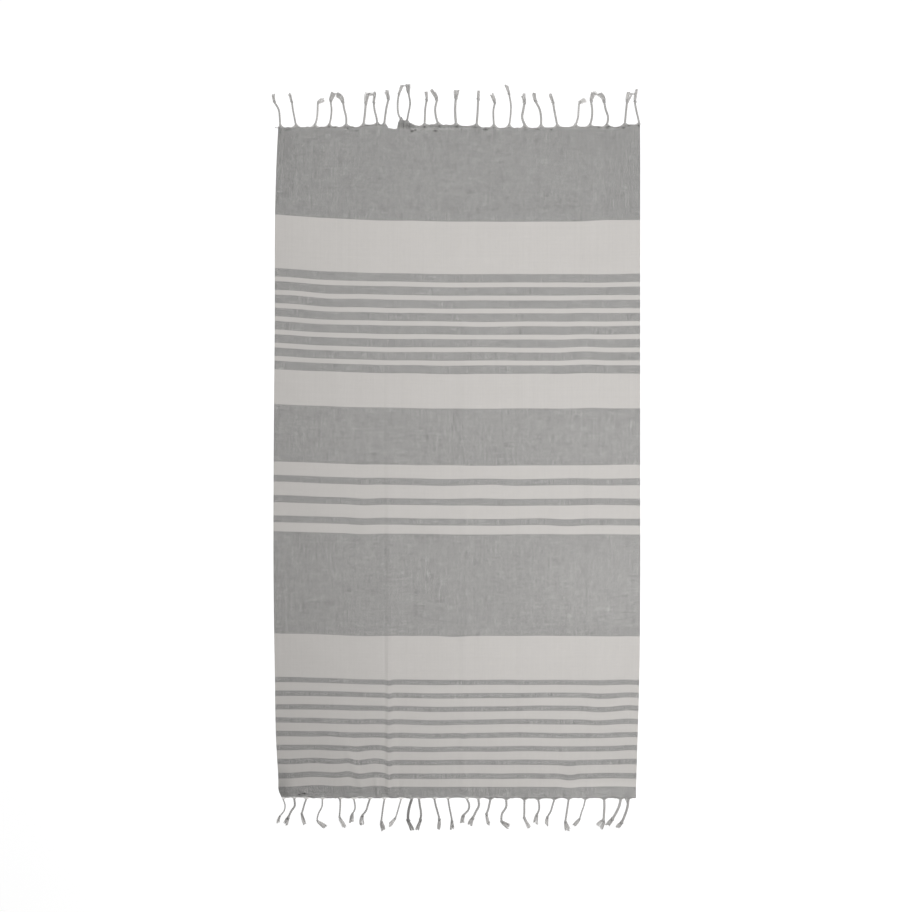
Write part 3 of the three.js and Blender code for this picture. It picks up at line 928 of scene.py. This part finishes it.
def crowding_and_painted_light(tree):
    """How much darker the cloth looks at each of its places, from crowded weft and painted shade and
    light: 0 for not at all.
    """
    place = add(tree, "ShaderNodeTexCoord")["Object"]
    place = vector("SUBTRACT", place, (CENTRE_X, FAR_Y, 0))
    place = vector("MULTIPLY", place, (1 / MM, -1 / MM, 0))
    shade = 0.0
    for spot in WEFT_AND_PAINTED_LIGHT_SPOTS:
        inputs = {"Place": place, "Depth": spot.depth, "So Far": shade}
        inputs["Centre"] = (spot.across, spot.down, 0)
        inputs["Shrink"] = (1 / spot.wide, 1 / spot.long, 0)
        shade = add(tree, "ShaderNodeGroup", inputs, node_tree=soft_oval)["Shade"]
    return shade


# %% [markdown]
# The towel's design, from its far end: one wide grey band, eight grey stripes with pale lines
# between them, a band, three thin stripes, the widest band, eight thinner stripes and the end
# band. Some bands took the dye a little deeper than others. Grey shows on the weft alone, since
# the warp is pale from end to end, and that is what makes the grey soft.

# %% The colours of the striped cotton
Run = namedtuple("Run", "start pitch width count depth")
RUNS = [  # start, pitch and width in millimetres, down the cloth as it was woven
    Run(-40, 500, 296, 1, 1.0),
    Run(400, 35.6, 22.8, 8, 0.93),
    Run(766.5, 500, 155, 1, 0.91),
    Run(957.7, 54.2, 18.6, 3, 0.93),
    Run(1109, 500, 279, 1, 0.89),
    Run(1507.3, 35.3, 14.1, 8, 0.93),
    Run(1788.4, 500, 60, 1, 0.96),
]
COTTON_ROUGH = 0.9
PALE_COTTON = (0.506, 0.488, 0.470, 1)
GREY_COTTON = (0.146, 0.152, 0.153, 1)
PALE_DASHES, GREY_DASHES = 0.025, 0.245  # how much the slubs show, and how much more in grey
STREAK_SHADE = 0.014  # how much the streaks show in pale cotton
GREY_STREAKS = 2.3  # how much more the streaks show in grey
MOTTLE_SHADE = 0.05
MOTTLE_SCALE = 0.012

cotton, tree, cotton_shader = new_material("striped_cotton", COTTON_ROUGH)
cut = add(tree, "ShaderNodeUVMap", uv_map="cut")[0]
place = scaled(cut, 1 / MM)
parts = add(tree, "ShaderNodeSeparateXYZ", {0: place})
on_loom = {"Across": parts["X"], "Down": parts["Y"]}

greys = []
for run in RUNS:
    inputs = {"Down": parts["Y"], **dict(zip(("Start", "Pitch", "Width", "Count"), run))}
    greys.append(add(tree, "ShaderNodeGroup", inputs, node_tree=stripe_run)["Mask"] * run.depth)
grey = greys[0]
for other in greys[1:]:
    grey = reckon("MAXIMUM", grey, other)

weave = add(tree, "ShaderNodeGroup", on_loom, node_tree=plain_weave)
threads = blend(weave["Weft On Top"], PALE_COTTON, blend(grey, PALE_COTTON, GREY_COTTON))
uneven = add(tree, "ShaderNodeGroup", on_loom, node_tree=slubs)
mottle = soft_noise(place, MOTTLE_SCALE, detail=3)["Fac"] - 0.5
tone = uneven["Dashes"] * (grey * GREY_DASHES + PALE_DASHES) + 1
tone = uneven["Streaks"] * (grey * GREY_STREAKS + 1) * STREAK_SHADE + tone
# Crowded weft and painted shade and light make the colour darker or lighter here.
tone = (mottle * MOTTLE_SHADE + tone) * (1 - crowding_and_painted_light(tree))
feed(cotton_shader, {"Base Color": scaled(threads, tone)})
print("cloth coloured with", len(RUNS), "runs of stripes")

# %% [markdown]
# The surface of the cloth is matt and a little fuzzy. The threads stand up by a tenth of a
# millimetre, too little to be worth a mesh, so a Bump node gives them to the light.

# %% The surface of the striped cotton
WEAVE_BUMP = 0.1
SLUB_BUMP = 0.02
SLUB_ROUGH = 0.06
CLOTH_SHEEN = 0.08
COTTON_SHINE = 0.2

rough = reckon("MULTIPLY_ADD", uneven["Dashes"], SLUB_ROUGH, COTTON_ROUGH, clamp=True)
high = uneven["Dashes"] * SLUB_BUMP + weave["Height"] * WEAVE_BUMP
bump = add(tree, "ShaderNodeBump", {"Height": high, "Distance": MM, "Strength": 1})[0]
feed(cotton_shader, {"Roughness": rough, "Normal": bump})
feed(cotton_shader, {"Sheen Weight": CLOTH_SHEEN, "Specular IOR Level": COTTON_SHINE})
cloth.data.materials.append(cotton)
print("cloth finished with", cotton.name)

# %% [markdown]
# ## The fringe
# Each tassel follows a path: out of the root, along the cord, through the knot and on to the end
# of the tuft. The table above gives six places of each, and a smooth curve goes through them.
# Everything else repeats along those paths, so Geometry Nodes make it: the twist of the cord, the
# wraps of the knot, the loose yarns of the tuft. The paths go in as one mesh of lines whose
# points say what they are: a cord, a knot, a tuft or a thread of the root.

# %% The paths of the tassels
CORD, KNOT, TUFT, ROOT = range(4)
ROOT_OVERLAPS = {"far": 3, "near": 0}  # how far the cords start inside the cloth's end
END_PEAKS = {"far": 8, "near": 3.5}  # how far out the roots' peaks lie
TUFT_TURN = 0.45
CORD_PULL = 0.15
PATH_STEPS = 9


def smooth_route(points, steps):
    """Points on a curve that passes through the given ones, with no loops at uneven gaps."""
    points = np.asarray(points, float)
    row = np.vstack([2 * points[0] - points[1], points, 2 * points[-1] - points[-2]])
    gaps = np.linalg.norm(np.diff(row, axis=0), axis=1) ** 0.5
    t = np.linspace(0, 1, steps, endpoint=False)[:, None]
    route = []
    for i in range(len(points) - 1):
        a, b, c, d = row[i : i + 4]
        g0, g1, g2 = gaps[i : i + 3]
        leave = ((b - a) / g0 - (c - a) / (g0 + g1) + (c - b) / g1) * g1
        arrive = ((c - b) / g1 - (d - b) / (g1 + g2) + (d - c) / g2) * g1
        route.append(smooth_between(t, b, leave, c, arrive))
    return np.vstack([*route, points[-1:]])


def tassel_route(row, name):
    """A tassel's path as across and out from the end's line, and where on it the knot comes."""
    peak = END_PEAKS[name]
    leaves = max(peak, float(end_line(name, row.at))) - ROOT_OVERLAPS[name]
    middle = row.tip * TUFT_TURN + (row.knot - row.high) * CORD_PULL + row.bend
    places = [
        (0, leaves),
        (row.low, peak + row.out / 3),
        (row.high, peak + row.out * 2 / 3),
        (row.knot, peak + row.out),
        (row.knot + middle, peak + row.out + row.reach / 2),
        (row.knot + row.tip, peak + row.out + row.reach),
    ]
    return smooth_route(places, PATH_STEPS) + [row.at, 0], 3 * PATH_STEPS


print("a path has", len(tassel_route(FAR_TASSELS[0], "far")[0]), "points")

# %% [markdown]
# The threads of a root come from the cloth on both sides of it. The outer ones lie along the
# cloth's end before they turn up into the cord, and that is the pale scalloped line which edges
# the grey cloth. Each is a simple bent line with three places to steer it.

# %% The threads of a root
ROOT_THREADS = 25
THREAD_STEPS = 9
ROOT_REACH = {"far": 14, "near": 12}
INTO_CORD = {"far": 5, "near": 2.5}
NOTCH = (-189, -161)  # nothing starts here
GATHERED = 1.6  # how much closer together the threads start near the root
EARLY_RISE = 2  # how much sooner the inner threads turn up into the cord
PAST_SELVEDGE = 6  # the outermost roots gather threads as if a tassel stood this far outside
THREAD_START, THREAD_TURN = -0.8, 0.9  # how far out past the cloth's end threads start and turn
THREAD_LEAN = 0.3
THREAD_HEIGHT = CLOTH_THICK + 0.1


def bent_line(start, steer, stop):
    t = np.linspace(0, 1, THREAD_STEPS)[:, None]
    return (1 - t) ** 2 * start + 2 * t * (1 - t) * steer + t**2 * stop


def root_threads(name, index, width):
    """The lines of one root's threads, as across, out and height."""
    tassels = ENDS[name].tassels
    row = tassels[index]
    left = tassels[index - 1].at if index else -width[0] - PAST_SELVEDGE
    right = tassels[index + 1].at if index + 1 < len(tassels) else width[1] + PAST_SELVEDGE
    lines = []
    for share in np.linspace(-1, 1, ROOT_THREADS):
        gap = (right - row.at if share > 0 else row.at - left) / 2
        aside = math.copysign(abs(share) ** GATHERED, share) * min(gap, ROOT_REACH[name])
        across = row.at + aside
        if name == "far" and NOTCH[0] < across < NOTCH[1]:
            continue
        start = np.array([across, end_line(name, across) + THREAD_START, THREAD_HEIGHT])
        turn_at = row.at + aside * THREAD_LEAN
        turn_out = end_line(name, turn_at) + THREAD_TURN + EARLY_RISE * (1 - abs(share))
        steer = np.array([turn_at, turn_out, THREAD_HEIGHT])
        stop_out = max(END_PEAKS[name], end_line(name, row.at)) + INTO_CORD[name]
        lines.append(bent_line(start, steer, np.array([row.at + share, stop_out, row.cord / 2])))
    return lines


print("threads to a root:", ROOT_THREADS)

# %% [markdown]
# Here and there a few yarns have come out of a tassel, or lie loose along the cloth's end. Each
# stray is a small bundle of thin yarns that bends once, given by three places across and out,
# the bundle's thickness and how light it is.

# %% The stray yarns
STRAY_YARNS = 5
STRAY_YARN = 1.1
STRAY_HEIGHT = 1.5

Stray = namedtuple("Stray", "start steer stop thick tone")
FAR_STRAYS = [  # loose yarns at the far end, each as three places across and out
    Stray((-482, -1), (-489, 0.5), (-497, 0.5), 2.6, 0.5),
    Stray((-151, 113), (-141, 117), (-131, 113), 3.2, 0.8),
    Stray((-157, 25), (-136, 18), (-108, 4), 1.8, 0.9),
    Stray((-343, 94), (-333, 95), (-324, 93), 2.6, 0.95),
    Stray((-343, 91), (-333, 92), (-324, 90), 2.6, 0.95),
    Stray((-243, 95), (-233, 96), (-223, 94), 2.6, 0.95),
    Stray((-243, 92), (-233, 92), (-224, 91), 2.6, 0.95),
    Stray((-242, 89), (-235, 88), (-226, 91), 2.4, 0.95),
    Stray((371, 94), (380, 94), (390, 91), 2.6, 0.95),
    Stray((371, 91), (380, 90), (390, 90), 2.6, 0.95),
    Stray((472, 94), (481, 95), (489, 94), 2.6, 0.95),
    Stray((472, 91), (481, 91), (489, 91), 2.6, 0.95),
]
NEAR_STRAYS = [
    Stray((457, -1), (462, 5), (466.5, 15), 3.6, 0.6),
    Stray((179.5, -1), (182, 4), (184.5, 12), 3, 0.65),
    Stray((-323.5, -1), (-321, 4), (-318.5, 12), 3, 0.65),
    # The two strays below are lighter than the cotton: painted highlights along the near left edge.
    Stray((-427, -1), (-414, -4), (-403, -1), 2, 1.6),
    Stray((-276, -1), (-264, -4), (-252, -1), 2, 1.6),
]
print(len(FAR_STRAYS) + len(NEAR_STRAYS), "strays")

# %% [markdown]
# All the lines of one end go into one mesh, since Geometry Nodes read a mesh's points together
# with any values kept on them: the kind of line, how thick it is, how wide its tuft spreads, how
# light its cotton is, with painted shade and light in it, and for a knot the way that its cord
# runs. A small class gathers both.

# %% A mesh of lines with values
class Lines:
    """Lines for Geometry Nodes: places in metres, with a few values on each point."""

    def __init__(self):
        self.points, self.edges = [], []
        self.values = {"kind": [], "thick": [], "wide": [], "shade": [], "heading": []}

    def add(self, points, **values):
        first = len(self.points)
        self.points += [tuple(p) for p in points]
        self.edges += [(i, i + 1) for i in range(first, len(self.points) - 1)]
        for name, known in self.values.items():
            known += [values.get(name, 0.0)] * len(points)

    def mesh(self, name):
        made = bpy.data.meshes.new(name)
        made.from_pydata(self.points, self.edges, [])
        for key, known in self.values.items():
            made.attributes.new(key, "FLOAT", "POINT").data.foreach_set("value", known)
        return made


print("lines can be gathered, with the values", list(Lines().values))

# %% [markdown]
# Each tassel puts in a cord, one point for its knot, a tuft and the threads of its root, and the
# strays follow. Twisted yarn is soft, so everything is drawn plumper than it would measure pulled
# tight. The shades differ a little from tassel to tassel, with a fixed seed for each end.

# %% Gather all the lines of one end
PLUMP = 1.7  # soft cords look this much thicker than their twisted core
KNOT_PLUMP = 1.32
TUFT_PLUMP = 1.15
ROOT_YARN = 1.1
# The cords and knots are painted darker than the tufts: painted shade, as twisted yarn holds more
# shadow.
KIND_PAINTED_SHADE = {  # how light each kind is; twisted yarn holds more shadow than loose yarn does
    "far": {CORD: 0.77, KNOT: 0.74, TUFT: 1.2, ROOT: 0.92},
    "near": {CORD: 0.75, KNOT: 0.7, TUFT: 1.2, ROOT: 1.0},
}
# The roots at the dragged peak are darkened, painted shade, and those on the near left lightened,
# painted light.
ROOT_PAINTED_LIGHT_AND_SHADE = {  # by place across: deep at the dragged peak, light on the near left, grey on the right
    "far": [(-165, 1), (-155, 0.62), (-130, 0.62), (-120, 1)],
    "near": [(40, 1.4), (85, 0.8)],
}
SHADES = (0.96, 1.04)  # how much darker or lighter a whole tassel may be
SEEDS = {"far": 11, "near": 12}


def end_lines(name, strays):
    """Every cord, knot, tuft, root thread and stray yarn of one end."""
    far = name == "far"
    straight = 0 if far else LENGTH
    width = (selvedge("left", straight), selvedge("right", straight))
    lines = Lines()
    rng = np.random.default_rng(SEEDS[name])

    def place(route, height):
        out = np.asarray(route)[:, 1]
        return in_place(np.asarray(route)[:, 0], -out if far else LENGTH + out, height)

    for index, row in enumerate(ENDS[name].tassels):
        route, knot = tassel_route(row, name)
        shade = row.shade * rng.uniform(*SHADES)
        shades = {kind: shade * tone for kind, tone in KIND_PAINTED_SHADE[name].items()}
        thick = row.cord * PLUMP
        points = place(route[: knot + 1], thick / 2)
        lines.add(points, kind=CORD, thick=thick * MM, shade=shades[CORD])

        ahead = points[-1] - points[-2]
        values = {"heading": math.atan2(ahead[1], ahead[0]), "thick": row.cord * KNOT_PLUMP * MM}
        lines.add(place(route[knot : knot + 1], 0), kind=KNOT, shade=shades[KNOT], **values)

        values = {"thick": thick * MM, "wide": row.wide * TUFT_PLUMP * MM}
        lines.add(place(route[knot:], 0), kind=TUFT, shade=shades[TUFT], **values)

        shades[ROOT] *= between(ROOT_PAINTED_LIGHT_AND_SHADE[name], row.at)
        for thread in root_threads(name, index, width):
            points = place(thread[:, :2], thread[:, 2])
            lines.add(points, kind=ROOT, thick=ROOT_YARN * MM, shade=shades[ROOT])

    for stray in strays:
        for _ in range(STRAY_YARNS):
            astray = rng.uniform(-0.5, 0.5, (3, 2)) * stray.thick
            route = bent_line(*(np.array(stray[:3], float) + astray))
            height = STRAY_HEIGHT + rng.uniform(0, stray.thick) + np.zeros(len(route))
            lines.add(place(route, height), kind=ROOT, thick=STRAY_YARN * MM, shade=stray.tone)
    return lines.mesh(f"{name}_lines")


far_lines = end_lines("far", FAR_STRAYS)
near_lines = end_lines("near", NEAR_STRAYS)
print("line points:", len(far_lines.vertices), "far and", len(near_lines.vertices), "near")

# %% [markdown]
# A small kit for Geometry Nodes: values kept on the points by name, lines sorted by kind and made
# curves, copies and moves of them, and a thread of round section along any curve. Each thread
# keeps how far along it a point is, and which way out of the thread that point faces, because the
# yarn's finish is drawn from those two.

# %% Helpers for Geometry Nodes
GEOMETRY = "NodeSocketGeometry"


def kept(tree, name):
    """A value that the points have under a name."""
    return add(tree, "GeometryNodeInputNamedAttribute", {"Name": name}, data_type="FLOAT")[0]


def keep(geometry, name, value, kind="FLOAT"):
    """Gives the points a value under a name."""
    inputs = {"Geometry": geometry, "Name": name, "Value": value}
    settings = {"data_type": kind, "domain": "POINT"}
    return add(tree_of(geometry), "GeometryNodeStoreNamedAttribute", inputs, **settings)[0]


def along(tree, measure):
    """How far along its thread a point is: as a `Length`, or as a `Factor` from 0 to 1."""
    return add(tree, "GeometryNodeSplineParameter")[measure]


def rope(curve, radius, sides):
    """Gives curves a round section and keeps `along` and `facing` on it."""
    tree = tree_of(curve)
    curve = keep(curve, "along", along(tree, "Length"))
    ring = add(tree, "GeometryNodeCurvePrimitiveCircle", {"Resolution": sides, "Radius": 1})[0]
    ring = keep(ring, "facing", add(tree, "GeometryNodeInputPosition")[0], "FLOAT_VECTOR")
    inputs = {"Curve": curve, "Profile Curve": ring, "Scale": radius, "Fill Caps": True}
    return add(tree, "GeometryNodeCurveToMesh", inputs)[0]


def only(geometry, kind):
    """The points of one kind, and the lines between them."""
    tree = tree_of(geometry)
    inputs = {"A": kept(tree, "kind"), "B": float(kind), "Epsilon": 0.1}
    same = add(tree, "FunctionNodeCompare", inputs, data_type="FLOAT", operation="EQUAL")[0]
    inputs = {"Geometry": geometry, "Selection": same}
    return add(tree, "GeometryNodeSeparateGeometry", inputs, domain="POINT")["Selection"]


def level_curves(lines, **resample):
    """Lines as evenly stepped curves, whose normals lie level."""
    tree = tree_of(lines)
    curve = add(tree, "GeometryNodeMeshToCurve", {"Mesh": lines})[0]
    mode = "LENGTH" if "Length" in resample else "COUNT"
    curve = add(tree, "GeometryNodeResampleCurve", {"Curve": curve, **resample}, mode=mode)[0]
    return add(tree, "GeometryNodeSetCurveNormal", {"Curve": curve}, mode="Z_UP")[0]


def copies(curve, count):
    """Copies of each curve in its own place."""
    inputs = {"Geometry": curve, "Amount": count}
    return add(tree_of(curve), "GeometryNodeDuplicateElements", inputs, domain="SPLINE")


def move(geometry, offset):
    inputs = {"Geometry": geometry, "Offset": offset}
    return add(tree_of(geometry), "GeometryNodeSetPosition", inputs)[0]


def upright(tree, height):
    return add(tree, "ShaderNodeCombineXYZ", {"Z": height})[0]


print("helpers for Geometry Nodes are ready")

# %% [markdown]
# A towel cord is two plies that are each twisted and then laid round each other the other way,
# which is why it doesn't untwist. The cord's path is copied once for each ply, and each copy is
# wound round the path by turning an offset as it goes along.

# %% Geometry Nodes: a twisted cord
twisted_cord, take = new_group(
    "twisted cord",
    "GeometryNodeTree",
    {
        "Lines": GEOMETRY,
        "Plies": 2,
        "Lay": 0.011,
        "Step": 0.0014,
        "Sides": 7,
        "Ply Offset": 0.2,
        "Ply Radius": 0.3,
    },
)
plies = copies(level_curves(take["Lines"], Length=take["Step"]), take["Plies"])
turns = along(twisted_cord, "Length") / take["Lay"]
angle = (turns + plies["Duplicate Index"] / take["Plies"]) * math.tau
normal = add(twisted_cord, "GeometryNodeInputNormal")[0]
tangent = add(twisted_cord, "GeometryNodeInputTangent")[0]
thick = kept(twisted_cord, "thick")
offset = thick * take["Ply Offset"]
level = scaled(normal, reckon("COSINE", angle) * offset)
rise = scaled(vector("CROSS_PRODUCT", tangent, normal), reckon("SINE", angle) * offset)
wound = move(plies["Geometry"], vector("ADD", level, rise))
finish_group(twisted_cord, {"Cords": rope(wound, thick * take["Ply Radius"], take["Sides"])})

# %% [markdown]
# Each cord is stopped by an overhand knot. Pulled tight, such a knot shows two slanting wraps
# round the cord. They are one winding curve, made once at the size of a cord 1 thick and set on
# every knot's place, turned to the cord's direction and scaled to its thickness.

# %% Geometry Nodes: the wraps of a knot
WRAP_STEPS = 34
KNOT_BELLY = 0.35  # how soon a knot reaches its full thickness from either end

knot_wraps, take = new_group(
    "knot wraps",
    "GeometryNodeTree",
    {
        "Points": GEOMETRY,
        "Turns": 2.2,
        "Length": 1.1,
        "Winding": 0.62,
        "Slant": 0.32,
        "Yarn": 0.34,
        "Sides": 7,
    },
)
line = add(knot_wraps, "GeometryNodeCurvePrimitiveLine", {"End": (1, 0, 0)})[0]
line = add(knot_wraps, "GeometryNodeResampleCurve", {"Curve": line, "Count": WRAP_STEPS})[0]
t = along(knot_wraps, "Factor")
angle = t * take["Turns"] * math.tau
reach = take["Winding"] * reckon("SINE", t * math.pi) ** KNOT_BELLY
aside = reckon("COSINE", angle) * reach
ahead = aside * take["Slant"] + (t - 0.5) * take["Length"]
inputs = {"X": ahead, "Y": aside, "Z": reckon("SINE", angle) * reach}
wound = add(knot_wraps, "ShaderNodeCombineXYZ", inputs)[0]
wraps = add(knot_wraps, "GeometryNodeSetPosition", {"Geometry": line, "Position": wound})[0]
turned = upright(knot_wraps, kept(knot_wraps, "heading"))
size = kept(knot_wraps, "thick")
inputs = {"Points": take["Points"], "Instance": wraps, "Rotation": turned, "Scale": size}
placed = add(knot_wraps, "GeometryNodeInstanceOnPoints", inputs)[0]
real = add(knot_wraps, "GeometryNodeRealizeInstances", {"Geometry": placed})[0]
lifted = move(real, upright(knot_wraps, size * (take["Winding"] + take["Yarn"])))
finish_group(knot_wraps, {"Knots": rope(lifted, size * take["Yarn"], take["Sides"])})

# %% [markdown]
# Past the knot the yarns are free. They leave it close together, spread to the tuft's width, lie
# down on the floor and wave a little, since they were twisted before they were let go. They
# keep to a few locks. The tuft's path is copied once for each yarn, and every copy takes its
# own random values, as its lock does.

# %% Geometry Nodes: a loose tuft
YARN_SIDES = 3
START_SPREAD = 0.34  # half of the tuft's width as it leaves the knot, of a cord 1 thick
OPENING = 0.38  # how soon it opens
LOCK_GAP, LOCK_STRAY, YARN_STRAY = 0.58, 0.2, 0.42  # of half the tuft's width
YARN_PHASE = 0.6
SLOW_WAVE, QUICK_WAVE = 4.0, 8.0  # as an angle, over the whole tuft
KNOT_LOW, KNOT_HIGH = 0.25, 0.75  # where the yarns leave the knot, of a cord 1 thick
TIP_LOW, TIP_HIGH = 0.0006, 0.0016  # where they come to lie, in metres
OWN_LENGTH = 0.5  # how uneven single yarns are beside whole locks

loose_tuft, take = new_group(
    "loose tuft",
    "GeometryNodeTree",
    {
        "Lines": GEOMETRY,
        "Yarns": 36,
        "Locks": 3,
        "Steps": 10,
        "Yarn Radius": 0.0006,
        "Wave": 0.0009,
        "Uneven Ends": 0.26,
        "Seed": 5,
    },
)


def chance(low, high, draw, own_number=None):
    """A random value between two, the same for all that share a number.

    The node has limits for each kind of value, and Min_001 and Max_001 are those for floats.
    """
    node = add(loose_tuft, "FunctionNodeRandomValue", data_type="FLOAT").node
    inputs = {"Min_001": low, "Max_001": high, "Seed": take["Seed"] + draw}
    if own_number is not None:
        inputs["ID"] = own_number
    names = [socket.identifier for socket in node.inputs]
    feed(node, {names.index(name): value for name, value in inputs.items()})
    return Result(node.outputs[1])


yarns = copies(level_curves(take["Lines"], Count=take["Steps"]), take["Yarns"])[0]
own = add(loose_tuft, "GeometryNodeCurveOfPoint")["Curve Index"]
in_lock = take["Yarns"] / take["Locks"]
lock = reckon("FLOOR", own / in_lock)
rank = reckon("FLOORED_MODULO", lock, take["Locks"]) - (take["Locks"] * 0.5 - 0.5)
t = along(loose_tuft, "Factor")
thick = kept(loose_tuft, "thick")
opened = t**OPENING
start_spread = thick * START_SPREAD
spread = (kept(loose_tuft, "wide") * 0.5 - start_spread) * opened + start_spread
aside = rank * LOCK_GAP + chance(-LOCK_STRAY, LOCK_STRAY, 5, lock)
aside = (aside + chance(-YARN_STRAY, YARN_STRAY, 0, own)) * spread
phase = chance(0.0, math.tau, 1, lock) + chance(-YARN_PHASE, YARN_PHASE, 6, own)
swing = reckon("SINE", t * chance(SLOW_WAVE, QUICK_WAVE, 2, lock) + phase) * take["Wave"] * t
level = scaled(add(loose_tuft, "GeometryNodeInputNormal")[0], aside + swing)
high = chance(0.0, 1.0, 3, own)
at_knot = thick * (high * KNOT_HIGH + KNOT_LOW)
at_tip = high * TIP_HIGH + TIP_LOW
lift = upright(loose_tuft, (at_tip - at_knot) * opened + at_knot)
loose = move(yarns, vector("ADD", level, lift))
of_lock = reckon("FLOOR", add(loose_tuft, "GeometryNodeInputIndex")[0] / in_lock)
short = chance(0.0, OWN_LENGTH, 7) + chance(0.0, 1.0, 4, of_lock)
inputs = {"Curve": loose, "End": 1 - short * take["Uneven Ends"]}
cut = add(loose_tuft, "GeometryNodeTrimCurve", inputs)[0]
finish_group(loose_tuft, {"Tufts": rope(cut, take["Yarn Radius"], YARN_SIDES)})

# %% [markdown]
# One last tree puts a fringe together. It sorts the lines by kind, sends each to its group, joins
# what comes back, makes any instances real and gives it all the yarn's material.

# %% Geometry Nodes: the whole fringe
ROOT_SIDES = 5

fringe_maker, take = new_group(
    "fringe",
    "GeometryNodeTree",
    {"Lines": GEOMETRY, "Yarns": 36, "Seed": 5, "Yarn": "NodeSocketMaterial"},
)


def from_group(group, inputs):
    return add(fringe_maker, "GeometryNodeGroup", inputs, node_tree=group)[0]


cords = from_group(twisted_cord, {"Lines": only(take["Lines"], CORD)})
knots = from_group(knot_wraps, {"Points": only(take["Lines"], KNOT)})
inputs = {"Lines": only(take["Lines"], TUFT), "Yarns": take["Yarns"], "Seed": take["Seed"]}
tufts = from_group(loose_tuft, inputs)
roots = level_curves(only(take["Lines"], ROOT), Count=THREAD_STEPS)
roots = rope(roots, kept(fringe_maker, "thick") * 0.5, ROOT_SIDES)
join = add(fringe_maker, "GeometryNodeJoinGeometry")
for part in (roots, tufts, knots, cords):
    feed(join.node, {0: part})
real = add(fringe_maker, "GeometryNodeRealizeInstances", {"Geometry": join[0]})[0]
smooth = add(fringe_maker, "GeometryNodeSetShadeSmooth", {"Geometry": real})[0]
inputs = {"Geometry": smooth, "Material": take["Yarn"]}
finish_group(fringe_maker, {"Fringe": add(fringe_maker, "GeometryNodeSetMaterial", inputs)[0]})

# %% [markdown]
# ## How the yarn is finished
# Cord and tuft are the same cotton: pale, matt and hairy, each ply showing the slanting lines of
# its own twist, whose grooves are painted a little darker as shade. Those lines are drawn from
# `along` and `facing`, so they wind round every thread whichever way it runs. A value on each
# strand makes some of them darker or lighter than others: partly the cotton's own tone, partly
# painted shade on cords, knots and the roots at the dragged peak, and painted light on the near left.

# %% The fringe yarn
YARN_COTTON = (0.517, 0.507, 0.496)
TWIST_LINES = 3
TWIST_LENGTH = 0.004
TWIST_SHADE, PLAIN_SHADE = 0.05, 0.85
HAIR_SCALE, PATCH_SCALE = 900, 60
PATCH_SHADE = 0.3
HAIR_ROUGH, LEAST_ROUGH = 0.2, 0.78
TWIST_HEIGHT = 0.5  # beside the hairs' height
HAIR_HEIGHT = 0.0002
YARN_SHEEN = 0.15

yarn, tree, yarn_shader = new_material("cotton_yarn", COTTON_ROUGH)


def on_mesh(name, output):
    return add(tree, "ShaderNodeAttribute", attribute_name=name)[output]


facing = add(tree, "ShaderNodeSeparateXYZ", {0: on_mesh("facing", "Vector")})
round_it = reckon("ARCTAN2", facing["Y"], facing["X"])
twist = on_mesh("along", "Fac") * (math.tau / TWIST_LENGTH)
lines = reckon("SINE", round_it * TWIST_LINES + twist)
place = add(tree, "ShaderNodeTexCoord")["Object"]
hairs = soft_noise(place, HAIR_SCALE, detail=3)["Fac"]
patchy = soft_noise(place, PATCH_SCALE, detail=2)["Fac"]
# The twist lines darken the grooves a little: painted shade.
tone = patchy * PATCH_SHADE + (lines * TWIST_SHADE + PLAIN_SHADE)
bump = {"Height": lines * TWIST_HEIGHT + hairs, "Distance": HAIR_HEIGHT, "Strength": 1}
finish = {
    "Base Color": scaled(YARN_COTTON, tone * on_mesh("shade", "Fac")),
    "Roughness": hairs * HAIR_ROUGH + LEAST_ROUGH,
    "Normal": add(tree, "ShaderNodeBump", bump)[0],
    "Sheen Weight": YARN_SHEEN,
    "Specular IOR Level": COTTON_SHINE,
}
feed(yarn_shader, finish)
print("made", yarn.name)

# %% [markdown]
# The fringe tree runs as a modifier on each end's mesh of lines. Its inputs are set by their
# identifiers before it is first evaluated, and its result becomes a plain mesh.

# %% Make the two fringes
YARNS = 42  # in a tuft, as three locks


def make_fringe(name, lines, seed):
    """Runs the fringe tree on one end's lines and returns the fringe as a plain mesh object."""
    maker = bpy.data.objects.new(name, lines)
    scene.collection.objects.link(maker)
    modifier = maker.modifiers.new("fringe", "NODES")
    modifier.node_group = fringe_maker
    sockets = {s.name: s.identifier for s in fringe_maker.interface.items_tree if s.in_out == "INPUT"}
    modifier[sockets["Seed"]] = seed
    modifier[sockets["Yarns"]] = YARNS
    modifier[sockets["Yarn"]] = yarn
    apply_modifiers(maker)
    return maker


far_fringe = make_fringe("fringe_far_yarn", far_lines, seed=21)
near_fringe = make_fringe("fringe_near_yarn", near_lines, seed=34)

# %% [markdown]
# ## Tell the frame what was made
# Nothing on the towel moves by itself, so every piece rides on the one body. Each takes the place
# of its imported solid, which is hidden.

# %% Hand the pieces to the frame
for piece, node, slot in (
    (cloth, "cloth", "cloth"),
    (far_fringe, "fringe_far", "fringe_yarn"),
    (near_fringe, "fringe_near", "fringe_yarn"),
):
    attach(piece, "root")
    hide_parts(node)

print("handed over:", cloth.name, far_fringe.name, near_fringe.name)
